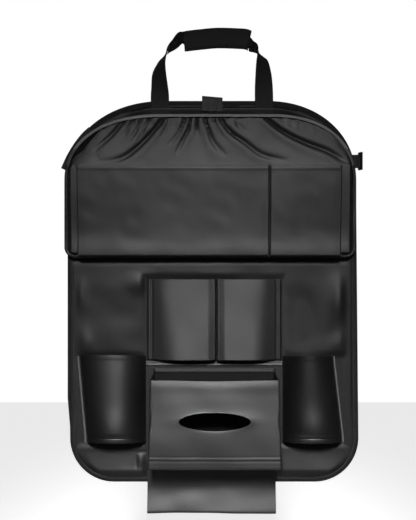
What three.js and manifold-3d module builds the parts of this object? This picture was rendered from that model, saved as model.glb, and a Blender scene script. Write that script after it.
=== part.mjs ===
// Car seat back organizer: a stiffened panel that hangs behind a front seat and carries sewn pockets.
// Millimetres. +X is to the viewer's right, +Z is up, and the seat face lies in the plane y = 0.
// "Depth" is the distance in front of the seat face, so a point at depth d has y = -d.
import * as THREE from "three";
import { mergeVertices } from "three/addons/utils/BufferGeometryUtils.js";
import Module from "manifold-3d";

const wasm = await Module();
wasm.setup();

// Main panel outline: a tombstone with elliptical shoulders
const panelWidth = 433;
const panelHeight = 572;
const shoulderHeight = 118;
const shoulderPower = 2.1;
const leftShoulder = { width: 147, lean: -5 };
const rightShoulder = { width: 134, lean: -3.5 };
const panelCorner = 66;

// Layers of the main panel
const seamGap = 0.3;
const liningThick = 1.2;
const liningInset = 2.5;
const boardThick = 2.5;
const panelSheetThick = 2.4;
const tapeThick = 1.2;
const panelTapeWidth = 9;
const tapeEdgeRound = 0.8;

// Handle
const handleSpan = 155.8;
const handleShift = -3.5;
const handleRise = 93.2;
const handleTuck = 26;
const webbingWidth = 27.5;
const webbingThick = 1.6;
const gripLength = 99;
const gripShift = 3.5;
const gripHeight = 30.5;
const gripThick = 7.5;
const gripPlayWide = 0.6;
const gripPlayThick = 0.45;

// Tab folded over the top edge of the panel
const tabWidth = 30;
const tabThick = 1.4;
const tabShift = -3;
const tabRise = 4;
const tabDrop = 17;
const tabCrownHalf = 2;
const tabCrownFlare = 0.8;

// Upper section: a board in its own cover, held at the foot by a seam strip
const upperWidth = 434;
const upperHeight = 214;
const upperDrop = 22;
const upperShoulderHeight = 100;
const upperShoulderPower = 2.25;
const upperLeftShoulder = { width: 147, lean: 0 };
const upperRightShoulder = { width: 128, lean: 0 };
const upperCorner = 16;
const upperShift = -6;
const upperTapeWidth = 5;
const upperBackThick = 1.2;
const upperBoardThick = 3.6;
const upperFrontThick = 2.2;
const seamStripHeight = 22;
const seamStripSide = 19;

// Elastic-topped pocket on the upper section
const pocketThick = 1.2;
const pocketFullness = 7;
const pocketBulge = 6;
const mouthStand = 3;
const mouthRun = 3;
const mouthGap = 3.5;
const mouthSide = 1.5;
const mouthDroop = 15;
const droopCentre = -185;
const droopSpread = 22;
const sideSlope = 14;
const footSlope = 10;
const hemHeight = 8;
const elasticThick = 0.8;
const elasticInset = 9;
const gatherDeepest = 5.2;
const gatherWidest = 4.8;
const gatherSpreading = 1.3;
const gatherFade = 0.6;
const mouthCurve = 0.8;
const gatherColumns = 66;
const gatherRows = 11;

// Two flat patch pockets on the elastic-topped pocket
const patchTopDrop = 79;
const patchThick = 1.4;
const patchLeftMargin = 16.5;
const patchRightMargin = 19.5;
const patchSeamX = 81;
const patchSeamGap = 1.6;

// Phone pocket: one sheet with two lobes, stitched down at its seam
const phoneWidth = 203;
const phoneHeight = 121;
const phoneDrop = 32;
const phoneDepth = 15;
const phonePleat = 24;
const phoneSeamX = 3;
const phoneSeamHalf = 5;
const phoneFootTaper = 10;
const phoneFootShare = 0.25;
const phoneThick = 1.4;
const phoneBandHeight = 7;
const phoneBandThick = 3;

// Tissue pocket: a box wall folded from one sheet, its back sheet and the flap that closes its foot
const tissueDrop = 5;
const tissueTopWidth = 183;
const tissueFootWidth = 188;
const tissueHeight = 122;
const tissueTopDepth = 68;
const tissueFootDepth = 74;
const tissueBelly = 3;
const tissueFrontDip = 7;
const tissueThick = 1.6;
const tissueFold = 5;
const slotWidth = 100;
const slotHeight = 25.5;
const slotDrop = 57.3;
const tissueTapeHeight = 2.6;
const tissueTapeProud = 0.5;
const flapWidth = 191;
const flapShift = -4;
const flapLength = 82;
const flapThick = 2;
const flapKick = 15;
const flapLap = 14;

// Bottle pockets: a sheet of fixed girth, a base and a foot band
const bottleGap = 8.4;
const bottleFootWidth = 88;
const bottleHeight = 122;
const bottleFootLift = 60;
const bottleGirth = 134;
const bottleLeastDepth = 3;
const bottleFrontRise = 6;
const bottleFootTilt = 8;
const bottleThick = 1.5;
const bottleBandHeight = 6.5;
const bottleBandProud = 0.7;
const bottleBaseThick = 1.6;
const pipingRadius = 1.5;
const leftSpread = 11;
const rightSpread = -14;

// Side straps and the ring that the seat strap threads through. The left strap's edge is given by how far
// it lies out from the panel's rim and below the panel's top.
const leftStrapEdge = [[8, 101.5], [-8.5, 64], [-33.5, 40]];
const leftStrapWidth = 25;
const rightStrapWidth = 20;
const rightStrapTuck = 44;
const rightStrapZ = 194.5;
const eyeHole = 2;
const ringBar = 2.6;
const ringWidth = 9.5;
const ringEndPlay = 0.6;
const ringAngle = 72;

// Depths of the stack, from the seat face forwards
const boardBack = liningThick + seamGap;
const boardFront = boardBack + boardThick;
const panelBack = boardFront + seamGap;
const panelFront = panelBack + panelSheetThick;
const panelTapeInner = panelFront + seamGap;
const panelTapeFront = panelTapeInner + tapeThick;
const webbingBack = panelTapeFront + seamGap;
const webbingFront = webbingBack + webbingThick;
const upperBack = webbingFront + seamGap;
const upperBackSheet = upperBack + tapeThick + seamGap;
const upperBoardBack = upperBackSheet + upperBackThick + seamGap;
const upperSheetBack = upperBoardBack + upperBoardThick + seamGap;
const upperFace = upperSheetBack + upperFrontThick;
const upperTapeFront = upperFace + seamGap + tapeThick;
const pocketSeat = upperFace + seamGap + pocketThick;
const onPanel = panelFront + seamGap;

// Heights of the pieces, from the top down
const panelTop = panelHeight / 2;
const panelBottom = -panelHeight / 2;
const upperTop = panelTop - upperDrop;
const upperBottom = upperTop - upperHeight;
const phoneTop = upperBottom - phoneDrop;
const phoneBottom = phoneTop - phoneHeight;
const phoneBandBottom = phoneBottom - seamGap - phoneBandHeight;
const tissueTop = phoneBandBottom - tissueDrop;
const tissueFrontTop = tissueTop - tissueFrontDip;
const tissueBottom = tissueFrontTop - tissueHeight;
const tissueTapeBottom = tissueBottom - seamGap - tissueTapeHeight;
const bottleBandBottom = panelBottom + bottleFootLift;
const bottleBandTop = bottleBandBottom + bottleBandHeight;
const bottleBottom = bottleBandTop + seamGap;

const panelOutline = {
  halfWidth: panelWidth / 2,
  top: panelTop,
  bottom: panelBottom,
  shoulderHeight,
  power: shoulderPower,
  left: leftShoulder,
  right: rightShoulder,
  corner: panelCorner,
  shift: 0,
};
const upperOutline = {
  halfWidth: upperWidth / 2,
  top: upperTop,
  bottom: upperBottom,
  shoulderHeight: upperShoulderHeight,
  power: upperShoulderPower,
  left: upperLeftShoulder,
  right: upperRightShoulder,
  corner: upperCorner,
  shift: upperShift,
};

const smooth = (t) => {
  const s = Math.min(1, Math.max(0, t));
  return s * s * (3 - 2 * s);
};
const mix = (a, b, t) => a + (b - a) * t;
const radians = THREE.MathUtils.degToRad;
const point = (x, depth, z) => new THREE.Vector3(x, -depth, z);

// Points of an outline moved inwards by inset, anticlockwise as seen from the front.
function outlinePoints(outline, inset, shoulderSteps = 12, cornerSteps = 7) {
  const { halfWidth, top, bottom, shift, left, right, corner, shoulderHeight: rise, power } = outline;
  const foot = { steps: cornerSteps, rx: corner, rz: corner, end: bottom, lean: 0, n: 2 };
  const shoulder = (side) => {
    return { steps: shoulderSteps, rx: side.width, rz: rise, end: top, lean: side.lean, n: power };
  };
  const quarters = [
    { ...foot, side: 1, from: -90 },
    { ...shoulder(right), side: 1, from: 0 },
    { ...shoulder(left), side: -1, from: 90 },
    { ...foot, side: -1, from: 180 },
  ];
  const bend = (value, n) => Math.sign(value) * Math.abs(value) ** (2 / n);
  return quarters.flatMap(({ side, from, steps, rx, rz, end, lean, n }) => {
    const centreX = shift + lean + side * (halfWidth - rx);
    const centreZ = end - Math.sign(end - (top + bottom) / 2) * rz;
    return Array.from({ length: steps + 1 }, (_, i) => {
      const angle = radians(from + (90 * i) / steps);
      const [c, d] = [Math.cos(angle), Math.sin(angle)].map((v) => (Math.abs(v) < 1e-9 ? 0 : v));
      return [centreX + (rx - inset) * bend(c, n), centreZ + (rz - inset) * bend(d, n)];
    });
  });
}

// A closed mesh from vertices and triangles, turned to face outwards.
function closedGeometry(vertices, triangles) {
  let volume = 0;
  for (const [a, b, c] of triangles) {
    volume += vertices[a].dot(new THREE.Vector3().crossVectors(vertices[b], vertices[c]));
  }
  const faces = volume < 0 ? triangles.map(([a, b, c]) => [a, c, b]) : triangles;
  const geometry = new THREE.BufferGeometry();
  const places = vertices.flatMap((v) => v.toArray());
  geometry.setAttribute("position", new THREE.Float32BufferAttribute(places, 3));
  geometry.setIndex(faces.flat());
  geometry.computeVertexNormals();
  return geometry;
}

// A flat slab between two depths, from outline points and optional holes.
function slab(points, back, front) {
  const shape = new THREE.Shape(points.map(([x, z]) => new THREE.Vector2(x, z)));
  const geometry = new THREE.ExtrudeGeometry(shape, { depth: front - back, bevelEnabled: false });
  return geometry.rotateX(Math.PI / 2).translate(0, -back, 0);
}

// A section drawn in depth and height, extruded along X about centreX.
function barAlongX(section, centreX, width) {
  const shape = new THREE.Shape(section.map(([depth, z]) => new THREE.Vector2(-depth, z)));
  const geometry = new THREE.ExtrudeGeometry(shape, { depth: width, bevelEnabled: false });
  const toFrame = new THREE.Matrix4().makeBasis(
    new THREE.Vector3(0, 1, 0),
    new THREE.Vector3(0, 0, 1),
    new THREE.Vector3(1, 0, 0),
  );
  return geometry.applyMatrix4(toFrame).translate(centreX - width / 2, 0, 0);
}

// A ring that follows an outline; its section is a closed list of [inset, depth].
function loopSolid(outline, section) {
  const loops = section.map(([inset, depth]) =>
    outlinePoints(outline, inset).map(([x, z]) => point(x, depth, z)),
  );
  const vertices = loops.flat();
  const count = loops[0].length;
  const triangles = [];
  for (let i = 0; i < loops.length; i++) {
    const next = (i + 1) % loops.length;
    for (let j = 0; j < count; j++) {
      const after = (j + 1) % count;
      const corners = [i * count + j, next * count + j, next * count + after, i * count + after];
      triangles.push([corners[0], corners[1], corners[2]], [corners[0], corners[2], corners[3]]);
    }
  }
  return closedGeometry(vertices, triangles);
}

// Edge tape folded round the rim of a panel: a channel with rounded outer corners.
function tapeSection(back, backInner, frontInner, front, width) {
  const r = tapeEdgeRound;
  return [
    [r, back],
    [0, back + r],
    [0, front - r],
    [r, front],
    [width, front],
    [width, frontInner],
    [tapeThick, frontInner],
    [tapeThick, backInner],
    [width, backInner],
    [width, back],
  ];
}

// A sheet between two surfaces on one grid of columns and rows.
function sheetSolid(columns, rows, outer, inner) {
  const vertices = [];
  for (const surface of [outer, inner]) {
    for (const u of columns) {
      for (const v of rows) vertices.push(surface(u, v));
    }
  }
  const across = columns.length;
  const up = rows.length;
  const at = (side, i, j) => side * across * up + i * up + j;
  const triangles = [];
  const quad = (a, b, c, d) => triangles.push([a, b, c], [a, c, d]);
  for (let i = 0; i + 1 < across; i++) {
    for (let j = 0; j + 1 < up; j++) {
      quad(at(0, i, j), at(0, i + 1, j), at(0, i + 1, j + 1), at(0, i, j + 1));
      quad(at(1, i, j), at(1, i, j + 1), at(1, i + 1, j + 1), at(1, i + 1, j));
    }
    quad(at(0, i, 0), at(1, i, 0), at(1, i + 1, 0), at(0, i + 1, 0));
    quad(at(0, i, up - 1), at(0, i + 1, up - 1), at(1, i + 1, up - 1), at(1, i, up - 1));
  }
  for (let j = 0; j + 1 < up; j++) {
    quad(at(0, 0, j), at(0, 0, j + 1), at(1, 0, j + 1), at(1, 0, j));
    quad(at(0, across - 1, j), at(1, across - 1, j), at(1, across - 1, j + 1), at(0, across - 1, j + 1));
  }
  return closedGeometry(vertices, triangles);
}

// A section swept through frames; each frame holds its centre and the two directions of the section.
function sweptSolid(frames, section) {
  const vertices = frames.flatMap(({ centre, wide, thick }) =>
    section.map(([a, b]) => centre.clone().addScaledVector(wide, a).addScaledVector(thick, b)),
  );
  const n = section.length;
  const last = (frames.length - 1) * n;
  const triangles = [];
  for (let i = 0; i + 1 < frames.length; i++) {
    for (let j = 0; j < n; j++) {
      const k = (j + 1) % n;
      triangles.push([i * n + j, i * n + k, (i + 1) * n + k], [i * n + j, (i + 1) * n + k, (i + 1) * n + j]);
    }
  }
  for (let j = 1; j + 1 < n; j++) {
    triangles.push([0, j + 1, j], [last, last + j, last + j + 1]);
  }
  return closedGeometry(vertices, triangles);
}

// A sleeve swept through frames, between two sections with as many points as each other.
function sweptSleeve(frames, outside, inside) {
  const place = (section) => ({ centre, wide, thick }) =>
    section.map(([a, b]) => centre.clone().addScaledVector(wide, a).addScaledVector(thick, b));
  const vertices = [...frames.flatMap(place(outside)), ...frames.flatMap(place(inside))];
  const n = outside.length;
  const rings = frames.length;
  const at = (side, i, j) => (side * rings + i) * n + (j % n);
  const triangles = [];
  const quad = (a, b, c, d) => triangles.push([a, b, c], [a, c, d]);
  for (let j = 0; j < n; j++) {
    for (let i = 0; i + 1 < rings; i++) {
      quad(at(0, i, j), at(0, i, j + 1), at(0, i + 1, j + 1), at(0, i + 1, j));
      quad(at(1, i, j), at(1, i + 1, j), at(1, i + 1, j + 1), at(1, i, j + 1));
    }
    quad(at(0, 0, j), at(1, 0, j), at(1, 0, j + 1), at(0, 0, j + 1));
    quad(at(0, rings - 1, j), at(0, rings - 1, j + 1), at(1, rings - 1, j + 1), at(1, rings - 1, j));
  }
  return closedGeometry(vertices, triangles);
}

function toSolid(geometry) {
  const bare = geometry.clone();
  for (const name of ["normal", "uv"]) bare.deleteAttribute(name);
  const merged = mergeVertices(bare, 1e-4);
  const made = new wasm.Mesh({
    numProp: 3,
    vertProperties: new Float32Array(merged.attributes.position.array),
    triVerts: new Uint32Array(merged.index.array),
  });
  return new wasm.Manifold(made);
}

function fromSolid(solid) {
  const made = solid.getMesh();
  const geometry = new THREE.BufferGeometry();
  geometry.setAttribute("position", new THREE.BufferAttribute(new Float32Array(made.vertProperties), 3));
  geometry.setIndex(new THREE.BufferAttribute(new Uint32Array(made.triVerts), 1));
  geometry.computeVertexNormals();
  return geometry;
}

const leather = new THREE.MeshStandardMaterial({ color: 0x1c1c1d, roughness: 0.5, metalness: 0 });
const liningCloth = new THREE.MeshStandardMaterial({ color: 0x141415, roughness: 0.95, metalness: 0 });
const webbing = new THREE.MeshStandardMaterial({ color: 0x101011, roughness: 0.85, metalness: 0 });
const boardPlastic = new THREE.MeshStandardMaterial({ color: 0x2a2a2c, roughness: 0.7, metalness: 0 });
const gripFoam = new THREE.MeshStandardMaterial({ color: 0x0e0e0f, roughness: 0.8, metalness: 0 });
const ringPlastic = new THREE.MeshStandardMaterial({ color: 0x0c0c0d, roughness: 0.35, metalness: 0 });

const organizer = new THREE.Group();

function addPart(name, geometry, material) {
  const mesh = new THREE.Mesh(geometry, material);
  mesh.name = name;
  organizer.add(mesh);
}

// Main panel
function buildPanel() {
  const sheetInset = tapeThick + seamGap;
  const boardInset = panelTapeWidth + seamGap;
  addPart("back_lining", slab(outlinePoints(panelOutline, liningInset), 0, liningThick), liningCloth);
  addPart("panel_board", slab(outlinePoints(panelOutline, boardInset), boardBack, boardFront), boardPlastic);
  addPart("panel_front", slab(outlinePoints(panelOutline, sheetInset), panelBack, panelFront), leather);
  const section = tapeSection(boardBack, boardFront, panelTapeInner, panelTapeFront, panelTapeWidth);
  addPart("panel_binding", loopSolid(panelOutline, section), leather);
}

// Handle: the webbing's path in shares of its half span and of its rise over the panel's top. Heading is
// the way it runs, clockwise from straight up, turn is the turn of its face out of the panel's plane, and
// full is the share of its width it keeps where the grip gathers it.
const handlePath = [
  { across: -1, up: 0.032, heading: 0, turn: 0, full: 1 },
  { across: -1.005, up: 0.204, heading: 0, turn: 21, full: 1 },
  { across: -1.012, up: 0.416, heading: 4, turn: 38, full: 1 },
  { across: -0.979, up: 0.565, heading: 14, turn: 58, full: 1 },
  { across: -0.928, up: 0.675, heading: 25, turn: 71, full: 1 },
  { across: -0.859, up: 0.785, heading: 38, turn: 88, full: 1 },
  { across: -0.795, up: 0.843, heading: 46, turn: 100, full: 0.9 },
  { across: -0.712, up: 0.89, heading: 56, turn: 116, full: 0.76 },
  { across: -0.602, up: 0.938, heading: 72, turn: 150, full: 0.64 },
  { across: -0.528, up: 0.944, heading: 87, turn: 180, full: 0.72 },
  { across: -0.443, up: 0.955, heading: 86, turn: 180, full: 0.76 },
  { across: -0.222, up: 0.976, heading: 87, turn: 180, full: 0.76 },
  { across: 0.114, up: 1, heading: 90, turn: 180, full: 0.76 },
  { across: 0.533, up: 0.99, heading: 93, turn: 180, full: 0.76 },
  { across: 0.661, up: 0.979, heading: 96, turn: 180, full: 0.72 },
  { across: 0.72, up: 0.955, heading: 100, turn: 170, full: 0.58 },
  { across: 0.756, up: 0.906, heading: 115, turn: 136, full: 0.66 },
  { across: 0.818, up: 0.861, heading: 136, turn: 112, full: 0.84 },
  { across: 0.874, up: 0.8, heading: 148, turn: 90, full: 0.96 },
  { across: 0.908, up: 0.747, heading: 153, turn: 74, full: 1 },
  { across: 0.936, up: 0.691, heading: 158, turn: 62, full: 1 },
  { across: 0.964, up: 0.618, heading: 166, turn: 46, full: 1 },
  { across: 0.987, up: 0.416, heading: 176, turn: 26, full: 1 },
  { across: 0.996, up: 0.204, heading: 180, turn: 8, full: 1 },
  { across: 1, up: 0.032, heading: 180, turn: 0, full: 1 },
];
const gripGather = 0.76;
const stepsPerStop = 4;

const legX = (side) => handleShift + (side * handleSpan) / 2;
const handleStops = [
  { ...handlePath[0], x: legX(-1), z: panelTop - handleTuck },
  ...handlePath.map((stop) => ({ ...stop, x: legX(stop.across), z: panelTop + stop.up * handleRise })),
  { ...handlePath[handlePath.length - 1], x: legX(1), z: panelTop - handleTuck },
];

function handleFrames() {
  const depth = (webbingBack + webbingFront) / 2;
  const curve = new THREE.CatmullRomCurve3(handleStops.map(({ x, z }) => point(x, depth, z)));
  const spans = handleStops.length - 1;
  const steps = stepsPerStop * spans;
  return Array.from({ length: steps + 1 }, (_, i) => {
    const centre = curve.getPoint(i / steps);
    const stop = Math.min(spans - 1, Math.floor(i / stepsPerStop));
    const past = i / stepsPerStop - stop;
    const between = (key) => mix(handleStops[stop][key], handleStops[stop + 1][key], past);
    const heading = radians(between("heading"));
    const angle = radians(between("turn"));
    const along = new THREE.Vector3(Math.sin(heading), 0, Math.cos(heading));
    const inwards = new THREE.Vector3(along.z, 0, -along.x);
    const wide = inwards.multiplyScalar(Math.cos(angle)).add(new THREE.Vector3(0, -Math.sin(angle), 0));
    const thick = new THREE.Vector3().crossVectors(along, wide);
    return { centre, wide, thick, full: between("full") };
  });
}

function buildHandle() {
  const frames = handleFrames();
  const a = webbingWidth / 2;
  const b = webbingThick / 2;
  const flat = [[-a, -b], [a, -b], [a, b], [-a, b]];
  const gathered = frames.map((frame) => ({ ...frame, wide: frame.wide.clone().multiplyScalar(frame.full) }));
  addPart("handle_webbing", sweptSolid(gathered, flat), webbing);

  const covered = frames.filter(({ centre }) => Math.abs(centre.x - gripShift) < gripLength / 2);
  const oval = (wide, thick, n) =>
    Array.from({ length: 16 }, (_, i) => {
      const angle = (2 * Math.PI * i) / 16;
      const bend = (v) => (Math.abs(v) < 1e-9 ? 0 : Math.sign(v) * Math.abs(v) ** (2 / n));
      return [wide * bend(Math.cos(angle)), thick * bend(Math.sin(angle))];
    });
  const outside = oval(gripHeight / 2, gripThick / 2, 4);
  const inside = oval(a * gripGather + gripPlayWide, b + gripPlayThick, 8);
  addPart("handle_grip", sweptSleeve(covered, outside, inside), gripFoam);
}

// Tab sewn at the back of the top edge and folded over it to the front
function buildTopTab() {
  const inside = boardBack - seamGap;
  const front = panelTapeFront + seamGap;
  const middle = (inside + front) / 2;
  const foot = panelTop - liningInset + seamGap;
  const crown = panelTop + tabRise;
  const section = [
    [0, foot],
    [inside, foot],
    [inside, panelTop + tabRise * 0.4],
    [middle - tabCrownHalf, crown],
    [middle + tabCrownHalf, crown],
    [front, panelTop + tabRise * 0.3],
    [front, panelTop - tabDrop],
    [front + tabThick, panelTop - tabDrop],
    [front + tabThick, panelTop + tabRise * 0.5],
    [middle + tabCrownHalf + tabCrownFlare, crown + tabThick],
    [middle - tabCrownHalf - tabCrownFlare, crown + tabThick],
    [0, panelTop + tabRise * 0.6],
  ];
  addPart("top_tab", barAlongX(section, tabShift, tabWidth), webbing);
}

// Upper section
function buildUpperSection() {
  const sheetInset = tapeThick + seamGap;
  const boardInset = sheetInset + seamGap;
  const sheetPoints = outlinePoints(upperOutline, sheetInset);
  const boardPoints = outlinePoints(upperOutline, boardInset);
  addPart("upper_back_sheet", slab(sheetPoints, upperBackSheet, upperBackSheet + upperBackThick), leather);
  addPart("upper_board", slab(boardPoints, upperBoardBack, upperBoardBack + upperBoardThick), boardPlastic);
  addPart("upper_front_sheet", slab(sheetPoints, upperSheetBack, upperFace), leather);
  const section = tapeSection(
    upperBack,
    upperBack + tapeThick,
    upperFace + seamGap,
    upperTapeFront,
    upperTapeWidth,
  );
  addPart("upper_binding", loopSolid(upperOutline, section), leather);

  const half = upperWidth / 2 - seamStripSide;
  const low = upperBottom + seamGap;
  const strip = [
    [upperShift - half, low],
    [upperShift + half, low],
    [upperShift + half, low + seamStripHeight],
    [upperShift - half, low + seamStripHeight],
  ];
  addPart("upper_seam_strip", slab(strip, onPanel, upperBack - seamGap), leather);
}

const pocketInset = upperTapeWidth + seamGap;
const pocketHalf = upperWidth / 2 - pocketInset;
const pocketFoot = upperBottom + pocketInset;
const patchTop = upperTop - patchTopDrop;

// Gathers of the elastic-topped pocket: valleys that fan out from the mouth.
// Each runs from its start on the hem over a bend to its end. A place is given in shares of the pocket's
// half width and of the height from the patches to the top.
const gathers = [
  { start: [-0.581, 0.823], bend: [-0.69, 0.544], end: [-0.841, 0.215], deep: 0.69, wide: 0.71 },
  { start: [-0.331, 0.848], bend: [-0.463, 0.43], end: [-0.784, 0.013], deep: 1, wide: 0.96 },
  { start: [-0.142, 0.848], bend: [-0.161, 0.595], end: [-0.236, 0.215], deep: 0.65, wide: 0.71 },
  { start: [-0.038, 0.848], bend: [0.009, 0.443], end: [0.17, 0.114], deep: 0.81, wide: 0.92 },
  { start: [0.076, 0.848], bend: [0.184, 0.468], end: [0.52, 0.051], deep: 0.92, wide: 0.88 },
  { start: [0.392, 0.848], bend: [0.624, 0.456], end: [0.945, 0.013], deep: 1, wide: 1 },
  { start: [-0.501, 0.835], bend: [-0.52, 0.747], end: [-0.548, 0.646], deep: 0.42, wide: 0.58 },
  { start: [-0.425, 0.835], bend: [-0.449, 0.709], end: [-0.491, 0.595], deep: 0.46, wide: 0.58 },
  { start: [-0.227, 0.848], bend: [-0.255, 0.722], end: [-0.293, 0.57], deep: 0.42, wide: 0.58 },
];

const gatherCurves = gathers.map(({ start, bend, end, deep, wide }) => {
  const place = ([across, up]) => new THREE.Vector2(across * pocketHalf, mix(patchTop, upperTop, up));
  const curve = new THREE.QuadraticBezierCurve(...[start, bend, end].map(place));
  return { points: curve.getPoints(16), depth: deep * gatherDeepest, spread: wide * gatherWidest };
});

function gatherDepth(x, z) {
  let total = 0;
  for (const { points, depth, spread } of gatherCurves) {
    let nearest = Infinity;
    let along = 0;
    points.forEach((p, i) => {
      const away = Math.hypot(p.x - x, p.y - z);
      if (away < nearest) {
        nearest = away;
        along = i / (points.length - 1);
      }
    });
    const reach = spread * (1 + gatherSpreading * along);
    total += depth * (1 - along) ** gatherFade * Math.exp(-((nearest / reach) ** 2));
  }
  return total;
}

// Height of the pocket's foot at an X measured from the upper section's centre line.
function footHeight(x) {
  const r = upperCorner - upperTapeWidth + seamGap;
  const past = Math.max(0, Math.abs(x) - (pocketHalf - r));
  return pocketFoot + r - Math.sqrt(Math.max(0, r * r - past * past));
}

// Height of the pocket's mouth, likewise.
function mouthHeight(x) {
  const shoulder = x < 0 ? upperLeftShoulder.width : upperRightShoulder.width;
  const flatHalf = upperWidth / 2 - shoulder;
  const span = shoulder - pocketInset - mouthSide;
  const reach = Math.min(1, Math.max(0, Math.abs(x) - flatHalf) / span);
  const rise = upperShoulderHeight - pocketInset - mouthGap;
  const arch = (1 - reach ** upperShoulderPower) ** (1 / upperShoulderPower);
  const droop = mouthDroop * Math.exp(-(((x - droopCentre) / droopSpread) ** 2));
  return upperTop - upperShoulderHeight + rise * arch - droop * (1 - reach ** 4);
}

// Depth of the pocket's outer face.
function pocketDepth(x, z) {
  const sides = smooth((pocketHalf - Math.abs(x)) / sideSlope);
  const foot = smooth((z - pocketFoot) / footSlope);
  const base = Math.min(patchTop, mouthHeight(x) - hemHeight - mouthRun);
  const rise = Math.min(1, Math.max(0, (z - base) / (mouthHeight(x) - base)));
  const swell = smooth((z - pocketFoot) / (base - pocketFoot));
  const belly = mix(pocketBulge * swell, mouthStand, rise ** mouthCurve);
  const folds = rise > 0 ? gatherDepth(x, z) * smooth(rise * 4) : 0;
  return pocketSeat + sides * (pocketFullness * foot + belly - folds);
}

const patchEdges = {
  left: -pocketHalf + patchLeftMargin,
  seamLeft: patchSeamX - upperShift - patchSeamGap / 2,
  seamRight: patchSeamX - upperShift + patchSeamGap / 2,
  right: pocketHalf - patchRightMargin,
};

// Columns of the pocket: even but for the patch edges, which fall on columns of their own.
function pocketColumns() {
  const edges = Object.values(patchEdges);
  const even = Array.from({ length: gatherColumns + 1 }, (_, i) => {
    const t = (2 * i) / gatherColumns - 1;
    return pocketHalf * Math.sin((Math.PI / 2) * t * (1.15 - 0.15 * Math.abs(t)));
  });
  const clear = even.filter((x) => edges.every((edge) => Math.abs(x - edge) > 1.2));
  return [...clear, ...edges].sort((a, b) => a - b);
}

// Height of row j at an X: three rows at the foot, the patch tops, the gathers and the hem.
function pocketRowHeight(x, j) {
  const lip = mouthHeight(x);
  const hemFoot = lip - hemHeight;
  const patchRow = Math.min(patchTop, hemFoot - mouthRun);
  if (j === gatherRows) return lip;
  if (j <= 2) return mix(footHeight(x), pocketFoot + footSlope, j / 2);
  return mix(patchRow, hemFoot, (j - 3) / (gatherRows - 4));
}

const pocketFace = (front) => (x, j) => {
  const z = pocketRowHeight(x, j);
  return point(x + upperShift, pocketDepth(x, z) + front, z);
};

function buildGatheredPocket() {
  const columns = pocketColumns();
  const rows = Array.from({ length: gatherRows + 1 }, (_, j) => j);
  addPart("gathered_pocket", sheetSolid(columns, rows, pocketFace(0), pocketFace(-pocketThick)), leather);
  const elasticFront = -pocketThick - seamGap;
  const inner = columns.filter((x) => Math.abs(x) < pocketHalf - elasticInset);
  const band = [pocketFace(elasticFront), pocketFace(elasticFront - elasticThick)];
  addPart("pocket_elastic", sheetSolid(inner, rows.slice(-2), ...band), webbing);
}

function buildPatchPockets() {
  const rows = [0, 1, 2, 3];
  const faces = [pocketFace(2 * seamGap + patchThick), pocketFace(2 * seamGap)];
  const sheet = (from, to) => {
    const columns = pocketColumns().filter((x) => x >= from && x <= to);
    return sheetSolid(columns, rows, ...faces);
  };
  addPart("patch_pocket_wide", sheet(patchEdges.left, patchEdges.seamLeft), leather);
  addPart("patch_pocket_narrow", sheet(patchEdges.seamRight, patchEdges.right), leather);
}

// Phone pocket
function phoneFaceDepth(x, z) {
  const half = phoneWidth / 2;
  const pleat = smooth((half - Math.abs(x)) / phonePleat);
  const seam = smooth(Math.abs(x - phoneSeamX) / phoneSeamHalf);
  const foot = mix(phoneFootShare, 1, smooth((z - phoneBottom) / phoneFootTaper));
  return onPanel + phoneThick + phoneDepth * foot * Math.min(pleat, seam);
}

function buildPhonePocket() {
  const half = phoneWidth / 2;
  const pleatSteps = [0, 0.12, 0.25, 0.4, 0.55, 0.7, 0.85, 1].map((t) => t * phonePleat);
  const seamSteps = [-1, -0.7, -0.4, 0, 0.4, 0.7, 1].map((t) => phoneSeamX + t * phoneSeamHalf);
  const columns = [
    ...pleatSteps.map((t) => -half + t),
    (-half + phonePleat + phoneSeamX) / 2,
    ...seamSteps,
    (half - phonePleat + phoneSeamX) / 2,
    ...pleatSteps.map((t) => half - t).reverse(),
  ];
  const rows = [0, 0.02, 0.05, 0.09, 0.5, 1].map((v) => mix(phoneBottom, phoneTop, v));
  const face = (back) => (x, z) => point(x, phoneFaceDepth(x, z) - back, z);
  addPart("phone_pocket", sheetSolid(columns, rows, face(0), face(phoneThick)), leather);
  const top = phoneBottom - seamGap;
  const round = phoneBandThick / 3;
  const section = [
    [onPanel, phoneBandBottom],
    [onPanel + phoneBandThick - round, phoneBandBottom],
    [onPanel + phoneBandThick, phoneBandBottom + round],
    [onPanel + phoneBandThick, top - round],
    [onPanel + phoneBandThick - round, top],
    [onPanel, top],
  ];
  addPart("phone_pocket_binding", barAlongX(section, 0, phoneWidth), leather);
}

// Tissue pocket: plan of the folded wall at a share v of its height, moved inwards by inset.
function tissuePlan(v, inset) {
  const half = mix(tissueFootWidth, tissueTopWidth, v) / 2 - inset;
  const front = onPanel + mix(tissueFootDepth, tissueTopDepth, v * v) - inset;
  const fold = tissueFold - inset;
  const quarter = (side) =>
    Array.from({ length: 4 }, (_, i) => {
      const angle = radians(30 * i);
      return [side * (half - fold + fold * Math.cos(angle)), front - fold + fold * Math.sin(angle)];
    });
  const sideDepths = [0, 0.35, 0.7].map((t) => mix(onPanel, front - fold, t));
  const sides = (side) => [...sideDepths.map((depth) => [side * half, depth]), ...quarter(side)];
  const across = 8;
  const middle = Array.from({ length: across - 1 }, (_, i) => {
    const t = (i + 1) / across;
    const belly = tissueBelly * Math.sin(Math.PI * t) * Math.sin(Math.PI * v);
    return [mix(-half + fold, half - fold, t), front + belly];
  });
  return [...sides(-1), ...middle, ...sides(1).reverse()];
}

function tissueWallSurface(inset) {
  return (i, v) => {
    const [x, depth] = tissuePlan(v, inset)[i];
    const forward = (depth - onPanel) / (tissueTopDepth - inset);
    const top = mix(tissueTop, tissueFrontTop, Math.min(1, forward));
    return point(x, depth, mix(tissueBottom, top, v));
  };
}

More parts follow.
